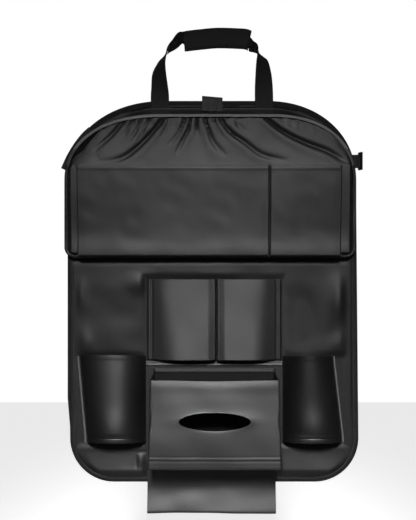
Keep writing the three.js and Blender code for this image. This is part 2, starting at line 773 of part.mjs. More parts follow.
function buildTissuePocket() {
  const stations = tissuePlan(0, 0).map((_, i) => i);
  const rows = [0, 0.2, 0.4, 0.6, 0.8, 1];
  const wall = toSolid(sheetSolid(stations, rows, tissueWallSurface(0), tissueWallSurface(tissueThick)));
  const ellipse = new THREE.EllipseCurve(0, tissueFrontTop - slotDrop, slotWidth / 2, slotHeight / 2);
  const slotPoints = ellipse.getPoints(36).slice(0, -1).map((p) => [p.x, p.y]);
  const reach = Math.max(tissueTopDepth, tissueFootDepth);
  const slot = toSolid(slab(slotPoints, onPanel + reach / 2, onPanel + reach * 1.5));
  addPart("tissue_pocket_wall", fromSolid(wall.subtract(slot)), leather);

  const tapeInset = -tissueTapeProud;
  const tapeFace = (inset) => (i, z) => {
    const [x, depth] = tissuePlan(0, inset)[i];
    return point(x, Math.max(depth, onPanel), z);
  };
  const tape = sheetSolid(
    stations,
    [tissueTapeBottom, tissueBottom - seamGap],
    tapeFace(tapeInset),
    tapeFace(tissueThick + tissueTapeProud),
  );
  addPart("tissue_pocket_binding", tape, leather);

  const inside = Math.min(tissueTopWidth, tissueFootWidth) / 2 - tissueThick - tissueTapeProud - seamGap;
  const backFoot = tissueTapeBottom - flapLap;
  const back = [[-inside, backFoot], [inside, backFoot], [inside, tissueTop], [-inside, tissueTop]];
  addPart("tissue_pocket_back", slab(back, onPanel, onPanel + tapeThick), leather);
  buildTissueFlap();
}

// Flap: hangs from the back sheet, passes the panel's rim and kicks forward at its hem.
function buildTissueFlap() {
  const centre = panelTapeFront + seamGap + flapThick / 2;
  const top = tissueTapeBottom - 2 * seamGap;
  const foot = top - flapLength;
  const path = new THREE.CubicBezierCurve(
    new THREE.Vector2(centre, top),
    new THREE.Vector2(centre, mix(top, foot, 0.45)),
    new THREE.Vector2(centre + 0.5, mix(top, foot, 0.8)),
    new THREE.Vector2(centre + flapKick, foot),
  );
  const face = (side) => (x, t) => {
    const p = path.getPoint(t);
    const along = path.getTangent(t);
    return point(x, p.x - side * along.y * (flapThick / 2), p.y + side * along.x * (flapThick / 2));
  };
  const rows = Array.from({ length: 13 }, (_, i) => i / 12);
  const columns = [flapShift - flapWidth / 2, flapShift, flapShift + flapWidth / 2];
  addPart("tissue_flap", sheetSolid(columns, rows, face(1), face(-1)), leather);
}

// Bottle pockets. side is -1 for the left one; spread moves the outer edge of the mouth outwards.
function bottlePlan(side, spread, v) {
  const inner = Math.max(tissueFootWidth, tissueTopWidth) / 2 + bottleGap;
  const outer = inner + bottleFootWidth + spread * v;
  const half = (outer - inner) / 2;
  const square = 2 * (bottleGirth / Math.PI) ** 2 - half * half;
  const depth = Math.sqrt(Math.max(bottleLeastDepth ** 2, square));
  return { centre: (side * (inner + outer)) / 2, half, depth, outer };
}

function bottleSide(name, side, spread) {
  const sideTop = bottleBottom + bottleHeight;
  const angles = Array.from({ length: 19 }, (_, i) => (Math.PI * i) / 18);
  const { centre: middle, half, depth } = bottlePlan(side, spread, 0);
  const footSlant = bottleFootTilt / depth;
  const footLift = (angle, inset) => footSlant * (depth - inset) * Math.sin(angle);
  const surface = (v, angle, inset, z) => {
    const plan = bottlePlan(side, spread, v);
    const x = plan.centre - (plan.half - inset) * Math.cos(angle);
    return point(x, onPanel + (plan.depth - inset) * Math.sin(angle), z);
  };
  const sheet = (inset) => (angle, v) => {
    const top = sideTop + bottleFrontRise * Math.sin(angle);
    return surface(v, angle, inset, mix(bottleBottom + footLift(angle, inset), top, v));
  };
  const rows = [0, 0.25, 0.5, 0.75, 1];
  addPart(`${name}_bottle_pocket`, sheetSolid(angles, rows, sheet(0), sheet(bottleThick)), leather);

  const band = (inset) => (angle, z) => surface(0, angle, inset, z + footLift(angle, inset));
  const bandRows = [bottleBandBottom, bottleBandTop];
  const bandSheet = sheetSolid(angles, bandRows, band(-bottleBandProud), band(bottleThick));
  addPart(`${name}_bottle_band`, bandSheet, leather);

  const inside = bottleThick + seamGap;
  const basePoints = angles.map((angle) => [
    middle - (half - inside) * Math.cos(angle),
    -(onPanel + (depth - inside) * Math.sin(angle)),
  ]);
  const shape = new THREE.Shape(basePoints.map(([x, y]) => new THREE.Vector2(x, y)));
  const base = new THREE.ExtrudeGeometry(shape, { depth: bottleBaseThick, bevelEnabled: false });
  const slant = new THREE.Matrix4().makeShear(0, 0, 0, -footSlant, 0, 0);
  const foot = bottleBandBottom + seamGap - footSlant * onPanel;
  base.applyMatrix4(slant).translate(0, 0, foot);
  addPart(`${name}_bottle_base`, base, leather);

  const out = bottleBandProud + seamGap + pipingRadius;
  const stops = [[0, bottleBandBottom], [0, bottleBottom], [1, sideTop]].map(([v, z]) => {
    const { outer } = bottlePlan(side, spread, v);
    return point(side * (outer + out), onPanel + pipingRadius, z);
  });
  const wide = new THREE.Vector3(1, 0, 0);
  const thick = new THREE.Vector3(0, -1, 0);
  const circle = Array.from({ length: 8 }, (_, i) => {
    const angle = (Math.PI * i) / 4;
    return [pipingRadius * Math.cos(angle), pipingRadius * Math.sin(angle)];
  });
  const frames = stops.map((centre) => ({ centre, wide, thick }));
  addPart(`${name}_bottle_piping`, sweptSolid(frames, circle), leather);
}

// Side straps, tucked between the main panel and the upper section
function buildSideStraps() {
  const leftRim = -panelWidth / 2 + leftShoulder.lean;
  const stops = leftStrapEdge.map(([out, drop]) => new THREE.Vector2(leftRim - out, panelTop - drop));
  const edge = new THREE.QuadraticBezierCurve(...stops);
  const steps = 8;
  const side = (offset) =>
    Array.from({ length: steps + 1 }, (_, i) => {
      const p = edge.getPoint(i / steps);
      const along = edge.getTangent(i / steps);
      return [p.x + offset * along.y, p.y - offset * along.x];
    });
  const left = [...side(0), ...side(leftStrapWidth).reverse()];
  addPart("left_side_strap", slab(left.reverse(), webbingBack, webbingFront), webbing);

  const eyeDepth = (webbingBack + webbingFront) / 2;
  const eyeRadius = eyeHole + webbingThick;
  const rightRim = Math.max(panelWidth / 2 + rightShoulder.lean, upperWidth / 2 + upperShift);
  const eyeX = rightRim + seamGap + eyeRadius;
  const start = Math.asin(webbingThick / 2 / eyeRadius);
  const eye = new THREE.Shape();
  eye.moveTo(eyeX - rightStrapTuck, -webbingThick / 2);
  eye.absarc(eyeX, 0, eyeRadius, Math.PI + start, 3 * Math.PI - start, false);
  eye.lineTo(eyeX - rightStrapTuck, webbingThick / 2);
  eye.holes.push(new THREE.Path().absarc(eyeX, 0, eyeHole, 0, 2 * Math.PI, true));
  const across = { depth: rightStrapWidth, bevelEnabled: false, curveSegments: 14 };
  const strap = new THREE.ExtrudeGeometry(eye, across);
  strap.translate(0, -eyeDepth, rightStrapZ - rightStrapWidth / 2);
  addPart("right_side_strap", strap, webbing);
  buildStrapRing(eyeX, eyeDepth);
}

function buildStrapRing(eyeX, eyeDepth) {
  const inner = rightStrapWidth + 2 * ringEndPlay;
  const high = inner / 2 + ringBar;
  const rectangle = (path, x0, x1, z) => {
    path.moveTo(x0, -z).lineTo(x1, -z).lineTo(x1, z).lineTo(x0, z).closePath();
    return path;
  };
  const shape = rectangle(new THREE.Shape(), -ringBar / 2, ringWidth - ringBar / 2, high);
  shape.holes.push(rectangle(new THREE.Path(), ringBar / 2, ringWidth - 1.5 * ringBar, inner / 2));
  const ring = new THREE.ExtrudeGeometry(shape, { depth: ringBar, bevelEnabled: false });
  ring.translate(0, 0, -ringBar / 2).rotateX(Math.PI / 2).rotateZ(-radians(ringAngle));
  addPart("right_strap_ring", ring.translate(eyeX, -eyeDepth, rightStrapZ), ringPlastic);
}

buildPanel();
buildHandle();
buildTopTab();
buildUpperSection();
buildGatheredPocket();
buildPatchPockets();
buildPhonePocket();
buildTissuePocket();
bottleSide("left", -1, leftSpread);
bottleSide("right", 1, rightSpread);
buildSideStraps();

export default organizer;
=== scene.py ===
"""Car seat back organizer: the soft pieces, their materials, and the studio that shows them.

Sizes are in millimetres in the part's own frame. X is to the right, Z is up, and depth is the
distance in front of the face that lies against the seat, so depth d is at Y = -d.
"""

import logging
import math
from dataclasses import dataclass, field
from enum import Enum, IntEnum
from typing import Sequence

import bmesh
import bpy
import numpy as np
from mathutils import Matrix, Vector

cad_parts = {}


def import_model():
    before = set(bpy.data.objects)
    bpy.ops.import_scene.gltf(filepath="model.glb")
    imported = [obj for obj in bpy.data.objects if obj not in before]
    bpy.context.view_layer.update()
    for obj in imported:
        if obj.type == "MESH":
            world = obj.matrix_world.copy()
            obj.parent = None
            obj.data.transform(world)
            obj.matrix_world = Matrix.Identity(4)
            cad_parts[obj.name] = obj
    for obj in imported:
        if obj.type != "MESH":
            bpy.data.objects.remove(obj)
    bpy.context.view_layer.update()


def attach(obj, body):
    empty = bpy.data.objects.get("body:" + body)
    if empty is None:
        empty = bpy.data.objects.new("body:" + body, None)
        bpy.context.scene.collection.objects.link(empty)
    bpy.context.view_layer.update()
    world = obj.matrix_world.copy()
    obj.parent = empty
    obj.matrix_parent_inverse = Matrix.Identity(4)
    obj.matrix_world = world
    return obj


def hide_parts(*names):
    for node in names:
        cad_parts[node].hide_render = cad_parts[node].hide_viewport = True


LOG = logging.getLogger("organizer")

MM = 0.001
ROOT = "root"
TAU = 2 * math.pi
TINY = 1e-9
EDGE_GAP = 0.3
CREASE_ANGLE = 42.0
OUTLINE_STEP = 3.0
WAVE_COUNT = 7
SIDEWAYS, FORWARD, UPWARD = np.eye(3)

# Depths of the layers, from the seat face forwards
BOARD_BACK = 1.5
PANEL_BACK = 4.3
PANEL_FACE = 6.7
ON_PANEL = 7.0
TAPE_FRONT = 8.2
WEBBING_MIDDLE = 9.3
UPPER_BACK = 10.4
UPPER_FACE = 19.5
UPPER_TAPE_FRONT = 21.0
POCKET_SEAT = 21.0

# Heights of the pieces
PANEL_TOP = 286.0
PANEL_BOTTOM = -286.0
UPPER_TOP = 264.0
UPPER_BOTTOM = 50.0
PATCH_TOP = 185.0
PHONE_TOP = 18.0
PHONE_BOTTOM = -103.0
TISSUE_TOP = -115.3
TISSUE_FRONT_TOP = -122.3
TISSUE_BOTTOM = -244.3


def smoothstep(t: np.ndarray) -> np.ndarray:
    """Ease from 0 to 1, held at both ends."""
    s = np.clip(t, 0.0, 1.0)
    return s * s * (3 - 2 * s)


def mix(a: float, b: float, t: np.ndarray) -> np.ndarray:
    """Value between a and b at share t."""
    return a + (b - a) * t


def bell(t: np.ndarray) -> np.ndarray:
    """A bump of height 1 about 0 and of half-width 1."""
    return np.exp(-(t**2))


def eased(count: int, share: float = 1.0) -> np.ndarray:
    """Numbers from 0 to 1, drawn closer together at both ends by a share."""
    t = np.linspace(0, 1, count)
    return mix(t, (1 - np.cos(np.pi * t)) / 2, share)


class Seed(IntEnum):
    """Seeds of the random undulations."""

    BINDING = 5
    TRIM_HIGHLIGHT = 6
    PANEL_SLOW = 11
    PANEL_FINE = 12
    LINING = 21
    POCKET_SLOW = 31
    POCKET_FINE = 32
    COVER = 41
    PATCH = 51
    PHONE = 61
    TISSUE_FRONT = 71
    TISSUE_BACK = 81
    FLAP = 91
    BOTTLE = 100


def waves(x: np.ndarray, z: np.ndarray, size: float, seed: int) -> np.ndarray:
    """Soft random undulation between about -1 and 1.

    Args:
        x: First coordinate in millimetres.
        z: Second coordinate in millimetres.
        size: Usual distance from crest to crest.
        seed: Seed of the draw.

    Returns:
        The height at each place.
    """
    draw = np.random.default_rng(seed)
    total = np.zeros(np.broadcast(x, z).shape)
    for _ in range(WAVE_COUNT):
        angle, phase, stretch = draw.uniform(0, TAU), draw.uniform(0, TAU), draw.uniform(0.7, 1.5)
        along = x * math.cos(angle) + z * math.sin(angle)
        total = total + np.sin(TAU * along / (size * stretch) + phase)
    return total / math.sqrt(WAVE_COUNT)


# Points and sections


def points_of(x: np.ndarray, depth: np.ndarray, z: np.ndarray) -> np.ndarray:
    """Points with these coordinates. A single number serves all the points."""
    return np.stack(np.broadcast_arrays(x, depth, z), axis=-1)


def unit(vectors: np.ndarray) -> np.ndarray:
    """The vectors at length 1."""
    return vectors / np.maximum(np.linalg.norm(vectors, axis=-1, keepdims=True), TINY)


def run_length(line: np.ndarray) -> np.ndarray:
    """Length of a polyline up to each of its points."""
    return np.concatenate([[0], np.linalg.norm(np.diff(line, axis=0), axis=1).cumsum()])


def resample(points: np.ndarray, step: float, closed: bool = True) -> np.ndarray:
    """Points spaced evenly along a polyline, about step apart."""
    line = np.concatenate([points, points[:1]]) if closed else points
    length = run_length(line)
    count = max(3, round(length[-1] / step))
    at = np.linspace(0, length[-1], count + 1)[: count if closed else count + 1]
    return np.stack([np.interp(at, length, line[:, i]) for i in range(line.shape[1])], axis=-1)


def spline(stops: Sequence[Sequence[float]], steps: int) -> np.ndarray:
    """Catmull-Rom curve through stops, with steps points to each span."""
    stops = np.array(stops)
    ends = np.concatenate([[2 * stops[0] - stops[1]], stops, [2 * stops[-1] - stops[-2]]])
    t = np.linspace(0, 1, steps, endpoint=False)[:, None]
    spans = []
    for a, b, c, d in zip(ends, ends[1:], ends[2:], ends[3:]):
        bend = (2 * a - 5 * b + 4 * c - d) * t**2 + (3 * b - a - 3 * c + d) * t**3
        spans.append(0.5 * (2 * b + (c - a) * t + bend))
    return np.concatenate([*spans, stops[-1:]])


def level_side(line: np.ndarray) -> np.ndarray:
    """Level unit direction to the outer side of a line, at each of its points."""
    along = np.gradient(line, axis=0) * (1, 1, 0)
    return unit(points_of(-along[:, 1], along[:, 0], 0.0))


def round_section(count: int, power: float | tuple[float, float] = 1.0) -> np.ndarray:
    """Points of a circle of radius 1, squared up towards its box where the power is below 1."""
    turn = np.linspace(0, TAU, count, endpoint=False)
    circle = np.stack([np.cos(turn), np.sin(turn)], axis=-1)
    return np.sign(circle) * np.abs(circle) ** power


def webbing_section(width: float, thick: float) -> np.ndarray:
    """Section of a woven strap: flat faces and rounded edges."""
    a, b = width / 2, thick / 2
    right = [(a - b + b * math.cos(t), b * math.sin(t)) for t in np.radians([-90, -45, 0, 45, 90])]
    across = np.linspace(a - b, -a + b, 13)[1:-1]
    left = [(-x, -y) for x, y in right]
    return np.array(right + [(x, b) for x in across] + left + [(x, -b) for x in across[::-1]])


def tape_section(back: float, front: float, width: float, puff: float, groove: float) -> np.ndarray:
    """Section of an edge tape folded round a rim, as (inset, depth).

    Args:
        back: Depth of the tape's back face.
        front: Depth of its front face.
        width: How far it reaches over the faces.
        puff: How far its front face swells.
        groove: How far from the free edge the stitch line pulls it in.

    Returns:
        The closed section, starting at the free edge of the back.
    """
    thick = 1.2
    half = (front - back) / 2
    turn = np.radians(np.linspace(-90, 90, 13))
    reach = min(half, 0.45 * width)
    nose = np.stack([reach * (1 - np.cos(turn)), (front + back) / 2 + half * np.sin(turn)], -1)
    inset = np.linspace(reach + 0.4, width, 14)
    share = (inset - reach) / (width - reach)
    face = front + puff * np.sin(np.pi * share) ** 0.7 - 0.75 * puff * bell((width - inset - groove) / 0.7)
    face[-1] = front - 0.15
    top = np.stack([inset, face], -1)
    inner = [(width + 0.12, front - thick * 0.5), (width, front - thick), (thick, front - thick)]
    inner += [(thick, back + thick), (width, back + thick), (width + 0.1, back + thick * 0.5)]
    return np.concatenate([[(width, back)], nose, top, inner])


# Meshes


def in_metres(points: np.ndarray) -> np.ndarray:
    """Points given as (x, depth, z) in millimetres, in the part's frame in metres."""
    return points_of(points[..., 0], -points[..., 1], points[..., 2]) * MM


def make_object(
    name: str,
    points: np.ndarray,
    faces: Sequence[Sequence[int]],
    material: bpy.types.Material,
    uv: np.ndarray | None = None,
) -> bpy.types.Object:
    """A mesh object whose faces point outwards.

    Args:
        name: Name of the piece.
        points: Vertices as (x, depth, z) in millimetres.
        faces: Vertex numbers of each face of a closed surface.
        material: Finish of the piece.
        uv: A pair of coordinates for each vertex, in metres.

    Returns:
        The new object, linked to the scene.
    """
    place = in_metres(np.asarray(points, dtype=float).reshape(-1, 3))
    triangles = np.array([(f[0], f[i], f[i + 1]) for f in faces for i in range(1, len(f) - 1)])
    a, b, c = (place[triangles[:, i]] for i in range(3))
    if np.einsum("ij,ij->i", a, np.cross(b, c)).sum() < 0:
        faces = [tuple(reversed(f)) for f in faces]
    mesh = bpy.data.meshes.new(name)
    mesh.from_pydata([tuple(p) for p in place], [], [tuple(f) for f in faces])
    if uv is not None:
        layer = mesh.uv_layers.new(name="cloth")
        corners = np.empty(len(mesh.loops), dtype=np.int64)
        mesh.loops.foreach_get("vertex_index", corners)
        layer.data.foreach_set("uv", np.asarray(uv, dtype=np.float32)[corners].ravel())
    mesh.polygons.foreach_set("use_smooth", np.ones(len(mesh.polygons), dtype=bool))
    mesh.set_sharp_from_angle(angle=math.radians(CREASE_ANGLE))
    mesh.update()
    mesh.materials.append(material)
    return link(name, mesh)


def link(name: str, data: bpy.types.ID) -> bpy.types.Object:
    """A new object in the scene that shows some data."""
    obj = bpy.data.objects.new(name, data)
    bpy.context.scene.collection.objects.link(obj)
    return obj


def surface_normals(points: np.ndarray) -> np.ndarray:
    """Unit normals of a grid of points, towards growing depth where the grid runs in x and z."""
    return unit(np.cross(np.gradient(points, axis=1), np.gradient(points, axis=0)))


def sheet_object(
    name: str,
    outer: np.ndarray,
    thickness: float,
    material: bpy.types.Material,
    rim: float = 0.3,
    inner: np.ndarray | None = None,
) -> bpy.types.Object:
    """A sheet of cloth with two faces and a rounded rim.

    Args:
        name: Name of the piece.
        outer: Grid of points of the outer face, columns by rows by (x, depth, z).
        thickness: Thickness, inwards from the outer face.
        material: Finish of the sheet.
        rim: How far the middle of the rim stands out, as a share of the thickness.
        inner: Grid of points of the inner face, where it doesn't follow the outer one.

    Returns:
        The sheet.
    """
    across, up = outer.shape[:2]
    normal = surface_normals(outer)
    if inner is None:
        inner = outer - normal * thickness
    number = np.arange(across * up).reshape(across, up)
    behind = number + across * up
    quads = [
        np.stack([number[:-1, :-1], number[1:, :-1], number[1:, 1:], number[:-1, 1:]], -1),
        np.stack([behind[:-1, :-1], behind[:-1, 1:], behind[1:, 1:], behind[1:, :-1]], -1),
    ]
    faces = [tuple(int(v) for v in q) for block in quads for q in block.reshape(-1, 4)]
    loop = np.concatenate([number[:-1, 0], number[-1, :-1], number[:0:-1, -1], number[0, :0:-1]])
    flat_outer, flat_inner = outer.reshape(-1, 3), inner.reshape(-1, 3)
    ahead, back = np.roll(loop, -1), np.roll(loop, 1)
    away = unit(np.cross(flat_outer[ahead] - flat_outer[back], normal.reshape(-1, 3)[loop]))
    to_middle = flat_outer[loop] - flat_outer.mean(axis=0)
    if np.einsum("ij,ij->i", away, to_middle).sum() < 0:
        away = -away
    edge = (flat_outer[loop] + flat_inner[loop]) / 2 + away * rim * thickness
    points = np.concatenate([flat_outer, flat_inner, edge])
    first = 2 * across * up
    count = len(loop)
    for i in range(count):
        j = (i + 1) % count
        a, b, m, n = int(loop[i]), int(loop[j]), first + i, first + j
        faces.append((b, a, m, n))
        faces.append((n, m, a + across * up, b + across * up))
    step = np.linalg.norm(np.diff(outer, axis=0), axis=-1).mean(axis=1)
    rise = np.linalg.norm(np.diff(outer, axis=1), axis=-1).mean(axis=0)
    u, v = np.concatenate([[0], step.cumsum()]), np.concatenate([[0], rise.cumsum()])
    flat = np.stack(np.meshgrid(u, v, indexing="ij"), axis=-1).reshape(-1, 2) * MM
    return make_object(name, points, faces, material, np.concatenate([flat, flat, flat[loop]]))


def sweep_object(
    name: str,
    centres: np.ndarray,
    wide: np.ndarray,
    thick: np.ndarray,
    section: np.ndarray,
    material: bpy.types.Material,
    closed: bool = False,
) -> bpy.types.Object:
    """A section swept along a path.

    Args:
        name: Name of the piece.
        centres: Points of the path.
        wide: Unit direction of the section's first coordinate, at each point or for all of them.
        thick: Unit direction of its second coordinate, in the same way.
        section: Closed outline of the section, or one outline for each point of the path.
        material: Finish of the piece.
        closed: True if the path closes on itself.

    Returns:
        The swept piece, with the length along the path as V.
    """
    rings = len(centres)
    shape = np.broadcast_to(section, (rings, *np.asarray(section).shape[-2:]))
    wide, thick = (np.broadcast_to(way, centres.shape)[:, None] for way in (wide, thick))
    points = centres[:, None] + shape[..., :1] * wide + shape[..., 1:] * thick
    n = shape.shape[1]
    faces = []
    for i in range(rings if closed else rings - 1):
        k = (i + 1) % rings
        for j in range(n):
            m = (j + 1) % n
            faces.append((i * n + j, i * n + m, k * n + m, k * n + j))
    if not closed:
        faces.append(tuple(range(n - 1, -1, -1)))
        faces.append(tuple((rings - 1) * n + j for j in range(n)))
    length = np.repeat(run_length(centres)[:, None], n, axis=1)
    uv = np.stack([shape[..., 0], length], axis=-1).reshape(-1, 2)
    return make_object(name, points, faces, material, uv * MM)


def finish_piece(obj: bpy.types.Object, finish_slot: str, *nodes: str) -> bpy.types.Object:
    """Let a piece ride on its body and stand for its nodes."""
    if nodes:
        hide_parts(*nodes)
    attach(obj, ROOT)
    LOG.info("%s: %d faces", obj.name, len(obj.data.polygons))
    return obj


def dress(node: str, material: bpy.types.Material) -> None:
    """Give a hard node its material."""
    mesh = bpy.data.objects[node].data
    mesh.materials.clear()
    mesh.materials.append(material)


# Outlines


@dataclass(frozen=True)
class Shoulder:
    """One rounded upper corner of an outline."""

    width: float
    lean: float


@dataclass(frozen=True)
class Outline:
    """Tombstone outline with elliptical shoulders and round lower corners."""

    half_width: float
    top: float
    bottom: float
    shoulder_height: float
    power: float
    left: Shoulder
    right: Shoulder
    corner: float
    shift: float = 0.0

    def points(self, inset: float = 0.0) -> np.ndarray:
        """Evenly spaced points as (x, z), anticlockwise as seen from the front."""
        turn = np.radians(np.linspace(0, 90, 49))
        c, s = np.cos(turn), np.sin(turn)
        bend = 2 / self.power
        r = self.corner - inset
        rise = self.shoulder_height - inset
        x0, z0 = self.shift, self.top - self.shoulder_height
        foot = self.bottom + self.corner
        reach = self.half_width - self.corner
        right_centre = x0 + self.right.lean + self.half_width - self.right.width
        left_centre = x0 + self.left.lean - self.half_width + self.left.width
        right = (self.right.width - inset) * c**bend
        left = (self.left.width - inset) * s**bend
        parts = [
            np.stack([x0 + reach + r * s, foot - r * c], -1),
            np.stack([right_centre + right, z0 + rise * s**bend], -1),
            np.stack([left_centre - left, z0 + rise * c**bend], -1),
            np.stack([x0 - reach - r * c, foot - r * s], -1),
        ]
        return resample(np.concatenate(parts), OUTLINE_STEP)

    def span(self, z: np.ndarray, inset: float) -> tuple[np.ndarray, np.ndarray]:
        """Left and right X of the outline at each height."""
        up = np.clip((z - self.top + self.shoulder_height) / (self.shoulder_height - inset), 0, 1)
        out = (1 - up**self.power) ** (1 / self.power)
        r = self.corner - inset
        down = np.clip((self.bottom + self.corner - z) / r, 0, 1)
        tuck = r * (1 - np.sqrt(1 - down**2))
        share = np.clip((z - self.bottom - self.corner) / 60, 0, 1)
        ends = []
        for side, shoulder in ((-1, self.left), (1, self.right)):
            centre = self.shift + shoulder.lean * share + side * (self.half_width - shoulder.width)
            ends.append(centre + side * ((shoulder.width - inset) * out - tuck))
        return ends[0], ends[1]


PANEL_OUTLINE = Outline(
    216.5, PANEL_TOP, PANEL_BOTTOM, 118, 2.1, Shoulder(147, -5), Shoulder(134, -3.5), 66
)
UPPER_OUTLINE = Outline(
    217, UPPER_TOP, UPPER_BOTTOM, 100, 2.25, Shoulder(147, 0), Shoulder(128, 0), 16, -6
)


def outline_grid(
    outline: Outline, inset: float, rise: np.ndarray, columns: int
) -> tuple[np.ndarray, np.ndarray, np.ndarray]:
    """A grid that fills an outline.

    Args:
        outline: The outline.
        inset: How far inside it the grid ends.
        rise: Share of the height at each row.
        columns: Number of columns.

    Returns:
        X, height and distance to the nearer side at each place.
    """
    z = mix(outline.bottom + inset, outline.top - inset, rise)
    left, right = outline.span(z, inset)
    x = left[None] + (right - left)[None] * np.linspace(0, 1, columns)[:, None]
    return x, np.broadcast_to(z[None], x.shape), np.minimum(x - left, right - x)


def outline_row(outline: Outline, inset: float, depth: float) -> np.ndarray:
    """A line of points at one depth along an outline."""
    line = outline.points(inset)
    return points_of(line[:, 0], depth, line[:, 1])


# Materials


def feed(tree: bpy.types.NodeTree, node: bpy.types.Node, inputs: dict[int | str, object]) -> None:
    """Link each input of a node to a socket, or set it to a value."""
    for key, value in inputs.items():
        if isinstance(value, bpy.types.NodeSocket):
            tree.links.new(value, node.inputs[key])
        else:
            node.inputs[key].default_value = value


def add_node(
    tree: bpy.types.NodeTree, kind: str, inputs: dict[int | str, object] | None = None, **settings: object
) -> bpy.types.bpy_prop_collection:
    """Add a node, set it and feed it, and give its outputs."""
    node = tree.nodes.new(kind)
    for name, value in settings.items():
        setattr(node, name, value)
    feed(tree, node, inputs or {})
    return node.outputs


def math_node(tree: bpy.types.NodeTree, operation: str, *values: object) -> bpy.types.NodeSocket:
    """Output of a Math node whose inputs are sockets or numbers."""
    return add_node(tree, "ShaderNodeMath", dict(enumerate(values)), operation=operation)[0]


def material_tree(data: bpy.types.Material | bpy.types.World) -> bpy.types.NodeTree:
    """The node tree of a new material or world."""
    data.use_nodes = True
    return data.node_tree


class Effect(Enum):
    """Shader effects that several finishes share."""

    GRAIN = "leather_grain"
    MOTTLE = "soft_mottle"
    WEAVE = "webbing_weave"


@dataclass
class ShaderGroups:
    """Builds each shared shader effect once."""

    made: dict[Effect, bpy.types.NodeTree] = field(default_factory=dict)

    def get(self, effect: Effect) -> bpy.types.NodeTree:
        """The node group of an effect."""
        if effect not in self.made:
            build = {Effect.GRAIN: self._grain, Effect.MOTTLE: self._mottle, Effect.WEAVE: self._weave}
            self.made[effect] = build[effect]()
        return self.made[effect]

    @staticmethod
    def _tree(
        effect: Effect, inputs: dict[str, float]
    ) -> tuple[bpy.types.NodeTree, bpy.types.bpy_prop_collection]:
        """A group with a Vector input, number inputs and one output, and the sockets of the inputs."""
        tree = bpy.data.node_groups.new(effect.value, "ShaderNodeTree")
        tree.interface.new_socket("Vector", in_out="INPUT", socket_type="NodeSocketVector")
        for name, value in inputs.items():
            socket = tree.interface.new_socket(name, in_out="INPUT", socket_type="NodeSocketFloat")
            socket.default_value = value
        tree.interface.new_socket("Value", in_out="OUTPUT", socket_type="NodeSocketFloat")
        return tree, add_node(tree, "NodeGroupInput")

    def _grain(self) -> bpy.types.NodeTree:
        """Pebbled grain: rounded cells with fine creases between them."""
        tree, given = self._tree(Effect.GRAIN, {"Cells": 900.0, "Creases": 0.5})
        warp = add_node(
            tree, "ShaderNodeTexNoise", {"Scale": 260, "Detail": 2, "Vector": given["Vector"]}
        )["Color"]
        shifted = {0: warp, 1: (0.0011, 0.0011, 0.0011), 2: given["Vector"]}
        place = add_node(tree, "ShaderNodeVectorMath", shifted, operation="MULTIPLY_ADD")[0]
        at = {"Vector": place, "Scale": given["Cells"]}
        cells = add_node(
            tree, "ShaderNodeTexVoronoi", {"Smoothness": 0.35, **at}, feature="SMOOTH_F1"
        )["Distance"]
        edges = add_node(tree, "ShaderNodeTexVoronoi", at, feature="DISTANCE_TO_EDGE")["Distance"]
        near = {"Value": edges, "From Max": 0.16}
        crease = add_node(tree, "ShaderNodeMapRange", near, interpolation_type="SMOOTHSTEP")["Result"]
        dome = math_node(tree, "MULTIPLY", cells, -0.5)
        groove = math_node(tree, "MULTIPLY", crease, given["Creases"])
        add_node(tree, "NodeGroupOutput", {"Value": math_node(tree, "ADD", dome, groove)})
        return tree

    def _mottle(self) -> bpy.types.NodeTree:
        """Slow variation of tone, with a finer one over it."""
        tree, given = self._tree(Effect.MOTTLE, {"Size": 14.0, "Fine": 0.35})
        noises = []
        for scale in (given["Size"], 420):
            noise = {"Scale": scale, "Detail": 3, "Vector": given["Vector"]}
            noises.append(add_node(tree, "ShaderNodeTexNoise", noise)["Fac"])
        fine = math_node(tree, "MULTIPLY", noises[1], given["Fine"])
        total = math_node(tree, "ADD", noises[0], fine)
        tone = math_node(tree, "DIVIDE", total, math_node(tree, "ADD", given["Fine"], 1.0))
        add_node(tree, "NodeGroupOutput", {"Value": tone})
        return tree

    def _weave(self) -> bpy.types.NodeTree:
        """Ribbed webbing: ribs along the strap, crossed by a fine weft."""
        tree, given = self._tree(Effect.WEAVE, {"Ribs": 620.0, "Weft": 900.0})
        place = add_node(tree, "ShaderNodeSeparateXYZ", {0: given["Vector"]})
        across = math_node(tree, "MULTIPLY", place["X"], given["Ribs"])
        along = math_node(tree, "MULTIPLY", place["Y"], given["Weft"])
        odd = math_node(tree, "MULTIPLY", math_node(tree, "FLOOR", across), 0.5)
        arches = []
        for run in (across, math_node(tree, "ADD", along, odd)):
            turn = math_node(tree, "MULTIPLY", math_node(tree, "FRACT", run), math.pi)
            arches.append(math_node(tree, "SINE", turn))
        add_node(tree, "NodeGroupOutput", {"Value": math_node(tree, "MULTIPLY", *arches)})
        return tree


class Coordinates(Enum):
    """Where a finish reads its pattern from."""

    OBJECT = "Object"
    UV = "UV"


